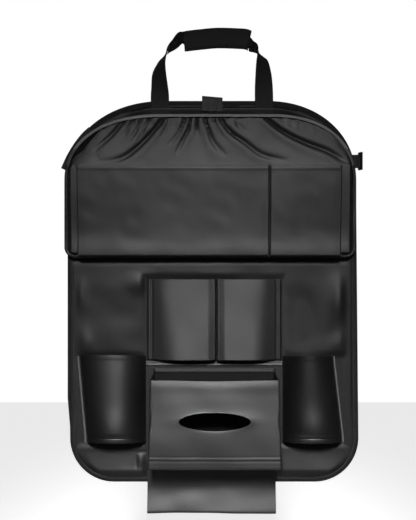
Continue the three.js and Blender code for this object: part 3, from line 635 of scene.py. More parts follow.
@dataclass(frozen=True)
class Finish:
    """A material of one colour with a grain or weave and a little variation."""

    name: str
    color: tuple[float, float, float]
    roughness: float
    effect: Effect
    bump: float
    bump_distance: float
    coordinates: Coordinates = Coordinates.OBJECT
    tone_spread: float = 0.25
    roughness_spread: float = 0.08
    cells: float = 900.0
    specular: float = 0.5
    sheen: float = 0.0
    sheen_roughness: float = 0.5
    coat: float = 0.0
    coat_roughness: float = 0.35

    def build(self, groups: ShaderGroups) -> bpy.types.Material:
        """The material, built from the shared effects."""
        material = bpy.data.materials.new(self.name)
        tree = material_tree(material)
        place = add_node(tree, "ShaderNodeTexCoord")
        given = {"Vector": place[self.coordinates.value]}
        if self.effect is Effect.GRAIN:
            given["Cells"] = self.cells
        pattern = add_node(tree, "ShaderNodeGroup", given, node_tree=groups.get(self.effect))["Value"]
        mottle = add_node(
            tree, "ShaderNodeGroup", {"Vector": place["Object"]}, node_tree=groups.get(Effect.MOTTLE)
        )["Value"]
        dark = tuple(c * (1 - self.tone_spread) for c in self.color)
        light = tuple(c * (1 + self.tone_spread) for c in self.color)
        tones = {"Factor": mottle, 6: (*dark, 1), 7: (*light, 1)}
        least, most = self.roughness - self.roughness_spread, self.roughness + self.roughness_spread
        spread = {"Value": mottle, "To Min": least, "To Max": most}
        relief = {"Strength": self.bump, "Distance": self.bump_distance, "Height": pattern}
        feed(
            tree,
            tree.nodes["Principled BSDF"],
            {
                "Base Color": add_node(tree, "ShaderNodeMix", tones, data_type="RGBA")[2],
                "Roughness": add_node(tree, "ShaderNodeMapRange", spread)["Result"],
                "Normal": add_node(tree, "ShaderNodeBump", relief)["Normal"],
                "Specular IOR Level": self.specular,
                "Sheen Weight": self.sheen,
                "Sheen Roughness": self.sheen_roughness,
                "Coat Weight": self.coat,
                "Coat Roughness": self.coat_roughness,
            },
        )
        return material


def grey(level: float, blue: float = 0.0) -> tuple[float, float, float]:
    """A grey, with a trace more blue where it is given."""
    return (level, level, level + blue)


LEATHERETTE = Finish("leatherette", grey(0.0065, 0.0002), 0.5, Effect.GRAIN, 0.35, 0.00025)
# A darker, less glossy copy of the leatherette for the panel's front sheet: painted shade, as the panel is
# the same leather as the pockets.
PANEL_SHADED_LEATHERETTE = Finish(
    "panel_leatherette_painted_shade", grey(0.0045, 0.0001), 0.46, Effect.GRAIN, 0.35, 0.00025, specular=0.27
)
# A darker copy of the leatherette for the bottle pockets: painted shade that darkens their round sides
# around the lamp's highlight.
BOTTLE_SHADED_LEATHERETTE = Finish("bottle_leatherette_painted_shade", grey(0.003, 0.0001), 0.42, Effect.GRAIN, 0.3, 0.0002)
BINDING = Finish("binding_leatherette", grey(0.011, 0.0003), 0.4, Effect.GRAIN, 0.3, 0.0002, cells=1300.0)
# Light grey: a painted highlight along the bottle pockets' piping cords and on the middle step of the upper
# binding.
PIPING_HIGHLIGHT = Finish("piping_painted_highlight", grey(0.07, 0.001), 0.4, Effect.GRAIN, 0.2, 0.0002, cells=1300.0)
# Near-black: painted shade in the pocket mouths, on the upper section's front cover and on the tissue
# pocket's back sheet.
SHADE_BACKING = Finish("painted_shade_backing", grey(0.006, 0.0001), 0.95, Effect.GRAIN, 0.5, 0.0003, specular=0.1)
# Light grey: a painted highlight along the top of the upper binding.
TRIM_HIGHLIGHT = Finish("trim_painted_highlight", grey(0.19, 0.001), 0.36, Effect.GRAIN, 0.25, 0.0002, cells=1300.0)
# A darker copy of the leatherette: painted shade that dims the panel's edge tape and the tissue pocket's
# foot tape where they catch the light.
SHADED_TAPE = Finish("tape_painted_shade", grey(0.0042, 0.0001), 0.62, Effect.GRAIN, 0.5, 0.0003, specular=0.2)
WEBBING = Finish(
    "woven_webbing", grey(0.0085, 0.0003), 0.8, Effect.WEAVE, 0.7, 0.0003, Coordinates.UV, sheen=0.04
)
TAB_CLOTH = Finish("tab_webbing", grey(0.02, 0.0005), 0.6, Effect.WEAVE, 0.6, 0.0003, Coordinates.UV)
LINING = Finish("lining_cloth", grey(0.02, 0.001), 0.9, Effect.GRAIN, 0.5, 0.0003, cells=1600.0)
GRIP = Finish("grip_leatherette", grey(0.0105, 0.0003), 0.72, Effect.GRAIN, 0.3, 0.0002)
THREAD = Finish("sewing_thread", grey(0.02, 0.001), 0.6, Effect.GRAIN, 0.2, 0.0001, cells=3000.0)
RING = Finish("ring_plastic", grey(0.01, 0.0005), 0.38, Effect.GRAIN, 0.1, 0.00008, cells=2400.0, coat=0.2)
BOARD = Finish("stiffener", grey(0.05, 0.002), 0.7, Effect.GRAIN, 0.2, 0.0002)


@dataclass
class Palette:
    """The materials of the object, each built once."""

    groups: ShaderGroups = field(default_factory=ShaderGroups)
    made: dict[str, bpy.types.Material] = field(default_factory=dict)

    def get(self, finish: Finish) -> bpy.types.Material:
        """The material of a finish."""
        if finish.name not in self.made:
            self.made[finish.name] = finish.build(self.groups)
        return self.made[finish.name]


# Stitches


@dataclass
class Stitching:
    """Rows of stitches, laid along paths by one node tree."""

    palette: Palette
    pitch: float = 4.2
    length: float = 3.1
    thickness: float = 0.62

    def _tree(self) -> bpy.types.NodeTree:
        """The tree that turns path edges into rows of stitches."""
        tree = bpy.data.node_groups.new("stitch_rows", "GeometryNodeTree")
        face = tree.interface
        face.new_socket("Geometry", in_out="INPUT", socket_type="NodeSocketGeometry")
        for name in ("Pitch", "Length", "Thickness"):
            face.new_socket(name, in_out="INPUT", socket_type="NodeSocketFloat")
        face.new_socket("Thread", in_out="INPUT", socket_type="NodeSocketMaterial")
        face.new_socket("Geometry", in_out="OUTPUT", socket_type="NodeSocketGeometry")
        given = add_node(tree, "NodeGroupInput")
        path = add_node(tree, "GeometryNodeMeshToCurve", {"Mesh": given["Geometry"]})["Curve"]
        spaced = {"Curve": path, "Length": given["Pitch"]}
        points = add_node(tree, "GeometryNodeCurveToPoints", spaced, mode="LENGTH")
        align = add_node(
            tree, "FunctionNodeAlignRotationToVector", {"Vector": points["Tangent"]}, axis="Z"
        )
        bead = add_node(tree, "GeometryNodeMeshIcoSphere", {"Radius": 0.5, "Subdivisions": 2})
        size = {"X": given["Thickness"], "Y": given["Thickness"], "Z": given["Length"]}
        rows = {
            "Points": points["Points"],
            "Instance": bead["Mesh"],
            "Rotation": align["Rotation"],
            "Scale": add_node(tree, "ShaderNodeCombineXYZ", size)["Vector"],
        }
        last = add_node(tree, "GeometryNodeInstanceOnPoints", rows)["Instances"]
        for kind in ("GeometryNodeRealizeInstances", "GeometryNodeSetShadeSmooth"):
            last = add_node(tree, kind, {"Geometry": last})["Geometry"]
        dressed = {"Geometry": last, "Material": given["Thread"]}
        last = add_node(tree, "GeometryNodeSetMaterial", dressed)["Geometry"]
        add_node(tree, "NodeGroupOutput", {"Geometry": last})
        return tree

    def sew(self, name: str, paths: Sequence[np.ndarray], closed: bool = False) -> bpy.types.Object:
        """Sew rows of stitches along paths.

        Args:
            name: Name of the piece.
            paths: Lines of points as (x, depth, z) in millimetres.
            closed: True if each path closes on itself.

        Returns:
            The stitches as one plain mesh.
        """
        tree = bpy.data.node_groups.get("stitch_rows") or self._tree()
        points, edges = [], []
        for path in paths:
            first = sum(len(p) for p in points)
            points.append(in_metres(path))
            ends = len(path) if closed else len(path) - 1
            edges += [(first + i, first + (i + 1) % len(path)) for i in range(ends)]
        mesh = bpy.data.meshes.new(name + "_path")
        mesh.from_pydata([tuple(p) for p in np.concatenate(points)], edges, [])
        carrier = link(name + "_path", mesh)
        modifier = carrier.modifiers.new("stitches", "NODES")
        modifier.node_group = tree
        values = {
            "Pitch": self.pitch * MM,
            "Length": self.length * MM,
            "Thickness": self.thickness * MM,
            "Thread": self.palette.get(THREAD),
        }
        for item in tree.interface.items_tree:
            if item.item_type == "SOCKET" and item.in_out == "INPUT" and item.name in values:
                modifier[item.identifier] = values[item.name]
        evaluated = carrier.evaluated_get(bpy.context.evaluated_depsgraph_get())
        result = bpy.data.meshes.new_from_object(evaluated)
        result.name = name
        bpy.data.objects.remove(carrier)
        return finish_piece(link(name, result), "leatherette")


@dataclass
class Part:
    """A group of pieces that takes its materials from the palette."""

    palette: Palette


@dataclass
class SewnPart(Part):
    """A part with rows of stitches of its own."""

    stitching: Stitching


# Main panel


def loop_object(
    name: str, outline: Outline, section: np.ndarray, material: bpy.types.Material, wobble: float, seed: int
) -> bpy.types.Object:
    """A tape round an outline, with a slightly uneven swell."""
    centres = outline_row(outline, 0.0, 0.0)
    ahead = unit(np.roll(centres, -1, axis=0) - np.roll(centres, 1, axis=0))
    inward = points_of(-ahead[:, 2], 0.0, ahead[:, 0])
    uneven = 1 + wobble * waves(centres[:, 0], centres[:, 2], 60, seed)[:, None]
    sections = np.repeat(section[None], len(centres), axis=0)
    front = section[:, 1].max() - 1.0
    lift = np.clip(section[:, 1] - front, 0, None)[None]
    sections[..., 1] = np.minimum(section[None, :, 1], front) + lift * uneven
    return sweep_object(name, centres, inward, FORWARD, sections, material, closed=True)


@dataclass(frozen=True)
class Swell:
    """A place where slack cloth stands away from what lies behind it."""

    x: float
    z: float
    height: float
    wide: float
    high: float

    def lift(self, x: np.ndarray, z: np.ndarray) -> np.ndarray:
        """How far the cloth stands out at each place."""
        return self.height * bell((x - self.x) / self.wide) * bell((z - self.z) / self.high)


SEWN_DOWN = (
    (-101.5, 101.5, -110.3, 18.0),
    (-99.5, 94.0, -292.0, -112.0),
    (-200.0, -100.0, -226.0, -100.0),
    (100.0, 192.0, -226.0, -100.0),
    (-204.0, 192.0, 50.0, 72.0),
)
PANEL_SWELLS = (
    Swell(-110, 13, 2.6, 20, 14),
    Swell(8.5, 12, 2.4, 24, 13),
    Swell(86, 13, 2.0, 18, 13),
    Swell(-30, 8, 0.9, 120, 20),
    Swell(186, -12, 4.6, 12, 30),
    Swell(186, -78, 2.8, 13, 17),
    Swell(-200, -8, 2.2, 8, 24),
    Swell(-192, -77, 2.4, 11, 16),
    Swell(-150, -70, 1.7, 30, 26),
    Swell(134, -40, -3.2, 24, 46),
    Swell(-109, -252, 1.4, 6, 8),
    Swell(-117, -256, -1.3, 2.2, 12),
    Swell(-105, -241, -1.3, 9, 2.4),
)


@dataclass
class MainPanel(SewnPart):
    """The stiffened panel: lining, board, front sheet, edge binding and its stitches."""

    sheet_inset: float = 1.5
    sheet_thick: float = 2.4
    lining_inset: float = 2.5
    lining_thick: float = 0.9
    tape_width: float = 9.0
    stitch_inset: float = 1.7
    rise_beside_tape: float = 1.6
    foot_forward: float = 4.8
    foot_reach: float = 46.0
    brow_height: float = 2.4
    brow_from: float = 258.0
    columns: int = 190
    rows: int = 250

    def face_depth(self, x: np.ndarray, z: np.ndarray) -> np.ndarray:
        """Depth of the front sheet's face, with the slack of a sheet sewn at its edges."""
        left, right = PANEL_OUTLINE.span(z, self.tape_width)
        crown = PANEL_TOP - self.tape_width - z
        rim = np.minimum(np.minimum(x - left, right - x), z - PANEL_BOTTOM - self.tape_width)
        slack = smoothstep(rim / 16) * smoothstep(crown / 3)
        beside = self.rise_beside_tape * smoothstep((np.minimum(rim, crown) + 4) / 3)
        foot = self.foot_forward * smoothstep((PANEL_BOTTOM + self.foot_reach + 4 - z) / self.foot_reach)
        foot = foot * smoothstep((rim + 6) / 18)
        brow = self.brow_height * smoothstep((z - self.brow_from) / 16)
        swells = sum(swell.lift(x, z) for swell in PANEL_SWELLS)
        soft = 0.4 * waves(x, z, 95, Seed.PANEL_SLOW) + 0.14 * waves(x, z, 38, Seed.PANEL_FINE)
        lift = beside + foot + slack * (swells + soft + brow)
        for x0, x1, z0, z1 in SEWN_DOWN:
            away = np.maximum(np.maximum(x0 - x, x - x1), np.maximum(z0 - z, z - z1))
            lift = lift * smoothstep((away + 1) / 12)
        return PANEL_FACE + np.maximum(lift, -0.3)

    def build(self) -> None:
        """Build and dress the pieces."""
        # The front sheet takes the darker copy of the leatherette: painted shade.
        leather = self.palette.get(PANEL_SHADED_LEATHERETTE)
        x, z, _ = outline_grid(PANEL_OUTLINE, self.sheet_inset, eased(self.rows, 0.75), self.columns)
        outer, behind = points_of(x, self.face_depth(x, z), z), points_of(x, PANEL_BACK, z)
        front = sheet_object("panel_front_sheet", outer, self.sheet_thick, leather, 0.1, behind)
        finish_piece(front, "leatherette", "panel_front")

        section = tape_section(BOARD_BACK, TAPE_FRONT, self.tape_width, 0.25, self.stitch_inset)
        # The edge tape takes the darker tape finish: painted shade.
        binding = self.palette.get(SHADED_TAPE)
        tape = loop_object("panel_edge_binding", PANEL_OUTLINE, section, binding, 0.35, Seed.BINDING)
        finish_piece(tape, "leatherette", "panel_binding")
        row = outline_row(PANEL_OUTLINE, self.tape_width - self.stitch_inset, TAPE_FRONT + 0.35)
        self.stitching.sew("panel_binding_stitches", [row], closed=True)
        self._lining()

    def _lining(self) -> None:
        """The cloth on the seat side, with its row of stitches."""
        x, z, inside = outline_grid(PANEL_OUTLINE, self.lining_inset, eased(90), 70)
        x, inside = x[::-1], inside[::-1]
        dip = 0.22 * smoothstep(inside / 12) * (1 + waves(x, z, 70, Seed.LINING)) / 2
        cloth = self.palette.get(LINING)
        lining = sheet_object("seat_side_lining", points_of(x, dip, z), self.lining_thick, cloth)
        finish_piece(lining, "lining_cloth", "back_lining")
        row = outline_row(PANEL_OUTLINE, self.lining_inset + 4.5, 0.12)
        self.stitching.sew("lining_stitches", [row], closed=True)


# Handle and straps


HANDLE_CENTRE = -3.5
HANDLE_HALF = 77.9
HANDLE_RISE = 93.2
HANDLE_TUCK = 26.0


@dataclass(frozen=True)
class StrapStop:
    """One place on the handle's strap.

    Across and up are shares of the handle's half span and of its rise over the panel. Heading is the
    way the strap runs, clockwise from straight up, turn is the turn of its face, and full is the share
    of its width that it keeps.
    """

    across: float
    up: float
    heading: float
    turn: float
    full: float = 1.0

    @property
    def x(self) -> float:
        """X of the strap's middle."""
        return HANDLE_CENTRE + self.across * HANDLE_HALF

    @property
    def z(self) -> float:
        """Height of the strap's middle."""
        return PANEL_TOP + self.up * HANDLE_RISE


HANDLE_STOPS = (
    StrapStop(-1, -HANDLE_TUCK / HANDLE_RISE, 0, 0),
    StrapStop(-1, 0.032, 0, 0),
    StrapStop(-1.005, 0.204, 0, 21),
    StrapStop(-1.012, 0.416, 4, 38),
    StrapStop(-0.979, 0.565, 14, 58),
    StrapStop(-0.928, 0.675, 25, 71),
    StrapStop(-0.859, 0.785, 38, 88),
    StrapStop(-0.795, 0.843, 46, 100, 0.9),
    StrapStop(-0.712, 0.89, 56, 116, 0.76),
    StrapStop(-0.602, 0.938, 72, 150, 0.64),
    StrapStop(-0.528, 0.944, 87, 180, 0.72),
    StrapStop(-0.443, 0.955, 86, 180, 0.76),
    StrapStop(-0.222, 0.976, 87, 180, 0.76),
    StrapStop(0.114, 1, 90, 180, 0.76),
    StrapStop(0.533, 0.99, 93, 180, 0.76),
    StrapStop(0.661, 0.979, 96, 180, 0.72),
    StrapStop(0.72, 0.955, 100, 170, 0.58),
    StrapStop(0.756, 0.906, 115, 136, 0.66),
    StrapStop(0.818, 0.861, 136, 112, 0.84),
    StrapStop(0.874, 0.8, 148, 90, 0.96),
    StrapStop(0.908, 0.747, 153, 74),
    StrapStop(0.936, 0.691, 158, 62),
    StrapStop(0.964, 0.618, 166, 46),
    StrapStop(0.987, 0.416, 176, 26),
    StrapStop(0.996, 0.204, 180, 8),
    StrapStop(1, 0.032, 180, 0),
    StrapStop(1, -HANDLE_TUCK / HANDLE_RISE, 180, 0),
)


TAB_PATH = (
    (0.75, 284.2),
    (0.75, 288.5),
    (2.9, 290.6),
    (5.4, 290.7),
    (8.1, 289.3),
    (9.2, 286.5),
    (9.25, 280),
    (9.25, 269.2),
)


@dataclass
class Handle(SewnPart):
    """The webbing handle, its grip and the tab between its ends."""

    webbing_width: float = 27.5
    webbing_thick: float = 1.6
    grip_length: float = 99.0
    grip_shift: float = 3.5
    grip_height: float = 30.5
    grip_thick: float = 7.5
    grip_gather: float = 0.76
    grip_hem: float = 2.2
    box_inset: float = 2.6
    box_low: float = PANEL_TOP - 19
    box_high: float = PANEL_TOP - 4
    tab_width: float = 30.0
    tab_thick: float = 1.4
    tab_shift: float = -3.0
    steps: int = 12

    def _frames(self) -> tuple[np.ndarray, np.ndarray, np.ndarray, np.ndarray]:
        """Points of the path, the strap's width and thickness directions there, and its fullness."""
        path = spline([(stop.x, stop.z) for stop in HANDLE_STOPS], self.steps)
        at = np.arange(len(path)) / self.steps
        kernel = np.array([1, 2, 3, 4, 3, 2, 1]) / 16
        smooth = []
        for key in ("heading", "turn", "full"):
            value = np.interp(at, range(len(HANDLE_STOPS)), [getattr(stop, key) for stop in HANDLE_STOPS])
            smooth.append(np.convolve(np.pad(value, 3, mode="edge"), kernel, mode="valid"))
        heading, turn, full = np.radians(smooth[0]), np.radians(smooth[1]), smooth[2]
        centres = points_of(path[:, 0], WEBBING_MIDDLE, path[:, 1])
        along = points_of(np.sin(heading), 0.0, np.cos(heading))
        inwards = points_of(along[:, 2], 0.0, -along[:, 0])
        wide = inwards * np.cos(turn)[:, None] + FORWARD * np.sin(turn)[:, None]
        return centres, wide, np.cross(along, wide), full

    def build(self) -> None:
        """Build and dress the pieces."""
        centres, wide, thick, full = self._frames()
        section = webbing_section(self.webbing_width, self.webbing_thick)
        sections = np.repeat(section[None], len(centres), axis=0)
        sections[..., 0] *= full[:, None]
        bent = centres.copy()
        bent[:, 2] += 6 * bell((centres[:, 0] + 50) / 8) - 3.4 * bell((centres[:, 0] - 55) / 7)
        bent[:, 1] += 4 * smoothstep((356 - bent[:, 2]) / 14) * smoothstep((bent[:, 2] - PANEL_TOP - 4) / 40)
        strap = sweep_object("handle_strap", bent, wide, thick, sections, self.palette.get(WEBBING))
        finish_piece(strap, "webbing", "handle_webbing")
        self._grip(centres, wide, thick)
        self._anchors()
        self._tab()

    def _grip(self, centres: np.ndarray, wide: np.ndarray, thick: np.ndarray) -> None:
        """The padded sleeve round the top of the handle."""
        near = np.abs(centres[:, 0] - self.grip_shift) < self.grip_length / 2
        mid, w, t = centres[near], wide[near], thick[near]
        share = (mid[:, 0] - self.grip_shift) / (self.grip_length / 2)
        swell = 1 + 0.05 * (1 - share**2)
        high = (self.grip_height / 2) * (1 - 0.03 * bell((np.abs(share) - 0.96) / 0.03))
        size = np.stack([high, self.grip_thick / 2 * swell], axis=-1)
        outside = round_section(40, (0.5, 0.62)) * size[:, None]
        half = self.webbing_width / 2 * self.grip_gather + 0.7
        inside = round_section(40, 0.25) * (half, self.webbing_thick / 2 + 0.35)
        rings, n = outside.shape[:2]
        both = np.concatenate([outside, np.broadcast_to(inside, outside.shape)])
        places = [np.concatenate([part, part])[:, None] for part in (mid, w, t)]
        points = (places[0] + both[..., :1] * places[1] + both[..., 1:] * places[2]).reshape(-1, 3)
        faces = []
        for j in range(n):
            k = (j + 1) % n
            for i in range(rings - 1):
                a, b = i * n, (i + 1) * n
                faces.append((a + j, a + k, b + k, b + j))
                a, b = a + rings * n, b + rings * n
                faces.append((a + j, b + j, b + k, a + k))
            faces.append((j, rings * n + j, rings * n + k, k))
            a = (rings - 1) * n
            faces.append((a + j, a + k, rings * n + a + k, rings * n + a + j))
        grip = make_object("handle_grip_sleeve", points, faces, self.palette.get(GRIP))
        finish_piece(grip, "grip_foam", "handle_grip")
        face = mid - t * (self.grip_thick / 2 - 0.45)
        rows = [face + w * side * (self.grip_height / 2 - self.grip_hem) for side in (1, -1)]
        self.stitching.sew("grip_stitches", rows)

    def _anchors(self) -> None:
        """The stitched boxes that hold the strap's ends to the panel."""
        half = self.webbing_width / 2 - self.box_inset
        depth = WEBBING_MIDDLE + self.webbing_thick / 2 + 0.1
        corners = ((-1, self.box_high), (1, self.box_high), (1, self.box_low), (-1, self.box_low))
        rows = []
        for x in (HANDLE_STOPS[0].x, HANDLE_STOPS[-1].x):
            box = np.array([(x + side * half, depth, z) for side, z in (*corners, corners[0])])
            rows.append(resample(box, 3, closed=False))
        self.stitching.sew("handle_box_stitches", rows)

    def _tab(self) -> None:
        """The short tab that comes over the top edge."""
        width, thick = self.tab_width, self.tab_thick
        line = spline(TAB_PATH, 8)
        x = np.linspace(-width / 2, width / 2, 40)[:, None]
        share = np.linspace(0, 1, len(line))[None]
        tilt = 2.6 * (x / width) * bell((share - 0.45) / 0.3)
        slant = (x - 9 + 14 * (share - 0.62)) / 2.0
        crease = (0.9 * bell(slant) - 0.7 * bell(slant - 2.2)) * smoothstep((share - 0.5) / 0.15)
        lean = 1.3 * smoothstep((-x - 4) / 9) * smoothstep((share - 0.62) / 0.25)
        depth = line[None, :, 0] + np.maximum(crease + lean, 0) + 0.4 * smoothstep((share - 0.55) / 0.1)
        outer = points_of(x + self.tab_shift, depth + 0.5 * thick, line[None, :, 1] - tilt)
        tab = sheet_object("top_edge_tab", outer, thick, self.palette.get(TAB_CLOTH))
        finish_piece(tab, "webbing", "top_tab")


@dataclass
class SideStraps(Part):
    """The strap ends at the sides and the plastic ring."""

    left_width: float = 25.0
    left_thick: float = 1.6
    right_width: float = 20.0
    right_thick: float = 0.78
    right_tuck: float = 44.0
    right_z: float = 194.5
    layer_offset: float = 0.42
    eye_x: float = 216.9
    eye_radius: float = 2.8
    eye_opening: float = 12.8
    left_edge: tuple[tuple[float, float], ...] = (
        (-229.5, 184.5),
        (-220.5, 204),
        (-209.5, 222),
        (-198.5, 236),
        (-188, 246),
    )

    def build(self) -> None:
        """Build and dress the pieces."""
        cloth = self.palette.get(WEBBING)
        line = spline(self.left_edge, 8)
        along = unit(np.gradient(line, axis=0))
        right = np.stack([along[:, 1], -along[:, 0]], axis=-1)
        middle = line + right * self.left_width / 2
        centres = points_of(middle[:, 0], WEBBING_MIDDLE, middle[:, 1])
        wide = points_of(right[:, 0], 0.0, right[:, 1])
        section = webbing_section(self.left_width, self.left_thick)
        strap = sweep_object("left_side_strap_end", centres, wide, FORWARD, section, cloth)
        finish_piece(strap, "webbing", "left_side_strap")
        self._right_strap(cloth)
        dress("right_strap_ring", self.palette.get(RING))

    def _right_strap(self, cloth: bpy.types.Material) -> None:
        """The strap that holds the ring: from behind the upper section round the ring's bar and back."""
        turn = np.radians(np.linspace(180 - self.eye_opening, -180 + self.eye_opening, 30))
        circle = np.stack([np.cos(turn), np.sin(turn)], axis=-1)
        eye = (self.eye_x, WEBBING_MIDDLE) + self.eye_radius * circle
        lead = np.linspace(self.eye_x - self.right_tuck, eye[0, 0] - 0.6, 16)
        out = np.stack([lead, np.full(16, WEBBING_MIDDLE + self.layer_offset)], -1)
        back = np.stack([lead[::-1], np.full(16, WEBBING_MIDDLE - self.layer_offset)], -1)
        line = resample(np.concatenate([out, eye, back]), 0.8, closed=False)
        centres = points_of(line[:, 0], line[:, 1], self.right_z)
        section = webbing_section(self.right_width, self.right_thick)
        strap = sweep_object("right_side_strap_end", centres, UPWARD, level_side(centres), section, cloth)
        finish_piece(strap, "webbing", "right_side_strap")


# Upper section


@dataclass(frozen=True)
class Gather:
    """One valley of the gathered cloth: its line as (x, z), its depth and its width."""

    line: tuple[tuple[float, float], ...]
    depth: float
    width: float
    fade: float = 0.7

    def height(self, x: np.ndarray, z: np.ndarray) -> np.ndarray:
        """Height that the valley and its two ridges add, negative in the valley."""
        path = spline(self.line, 10)
        best = np.full(x.shape, np.inf)
        along = np.zeros(x.shape)
        for i in range(len(path) - 1):
            a, b = path[i], path[i + 1]
            d = b - a
            t = np.clip(((x - a[0]) * d[0] + (z - a[1]) * d[1]) / (d @ d), 0, 1)
            dx, dz = x - a[0] - t * d[0], z - a[1] - t * d[1]
            away = np.hypot(dx, dz)
            closer = away < best
            best = np.where(closer, away, best)
            along = np.where(closer, (i + t) / (len(path) - 1), along)
        reach = self.width * (1 + 0.9 * along)
        strength = 0.72 * self.depth * (1 - along**1.6) ** self.fade
        valley = -bell(best / (0.62 * reach)) ** 0.8
        ridge = 0.24 * bell((best - 1.9 * reach) / (1.5 * reach))
        return strength * (valley + ridge)


GATHERS = (
    Gather(((-131.3, 254.3), (-153.3, 227.9), (-178.3, 205.9)), 3.4, 3),
    Gather(((-74, 255.8), (-94.6, 230.8), (-116.6, 208.8), (-138.6, 194.1), (-168, 186.8)), 5, 3.3, 0.45),
    Gather(((-119.5, 254.3), (-126.9, 238.2), (-132.7, 227.9)), 1.9, 1.7),
    Gather(((-107.8, 254.3), (-116.6, 233.8), (-125.4, 222)), 1.9, 1.7),
    Gather(((-96, 254.3), (-107.8, 229.3), (-115.1, 217.6)), 1.9, 1.8),
    Gather(((-66.6, 255.8), (-72.5, 238.2), (-79.9, 223.5)), 1.6, 1.7),
    Gather(((-43.2, 255.8), (-53.4, 230.8), (-68.1, 214.7)), 2.2, 2.1),
    Gather(((-34.3, 255.8), (-38.7, 238.2), (-46.1, 223.5), (-56.4, 200)), 3.4, 2.1, 0.6),
    Gather(((-25.5, 255.8), (-25.5, 241.1), (-24.1, 229.3)), 2.2, 1.6),
    Gather(((-13.8, 255.8), (-6.4, 230.8), (0.9, 216.1), (17.1, 198.5)), 3.2, 2.6, 0.6),
    Gather(((-2, 255.8), (3.8, 241.1), (14.1, 223.5)), 2, 1.7),
    Gather(((9.7, 255.8), (20, 238.2), (45, 219.1), (69.9, 201.4), (108.1, 191.2)), 4.2, 2.7, 0.5),
    Gather(((25.9, 255.8), (36.2, 244), (52.3, 232.3)), 1.2, 2),
    Gather(((75.8, 254.3), (103.7, 233.8), (133.1, 219.1), (169.8, 204.4), (194.8, 185.3)), 5, 3.2, 0.4),
)


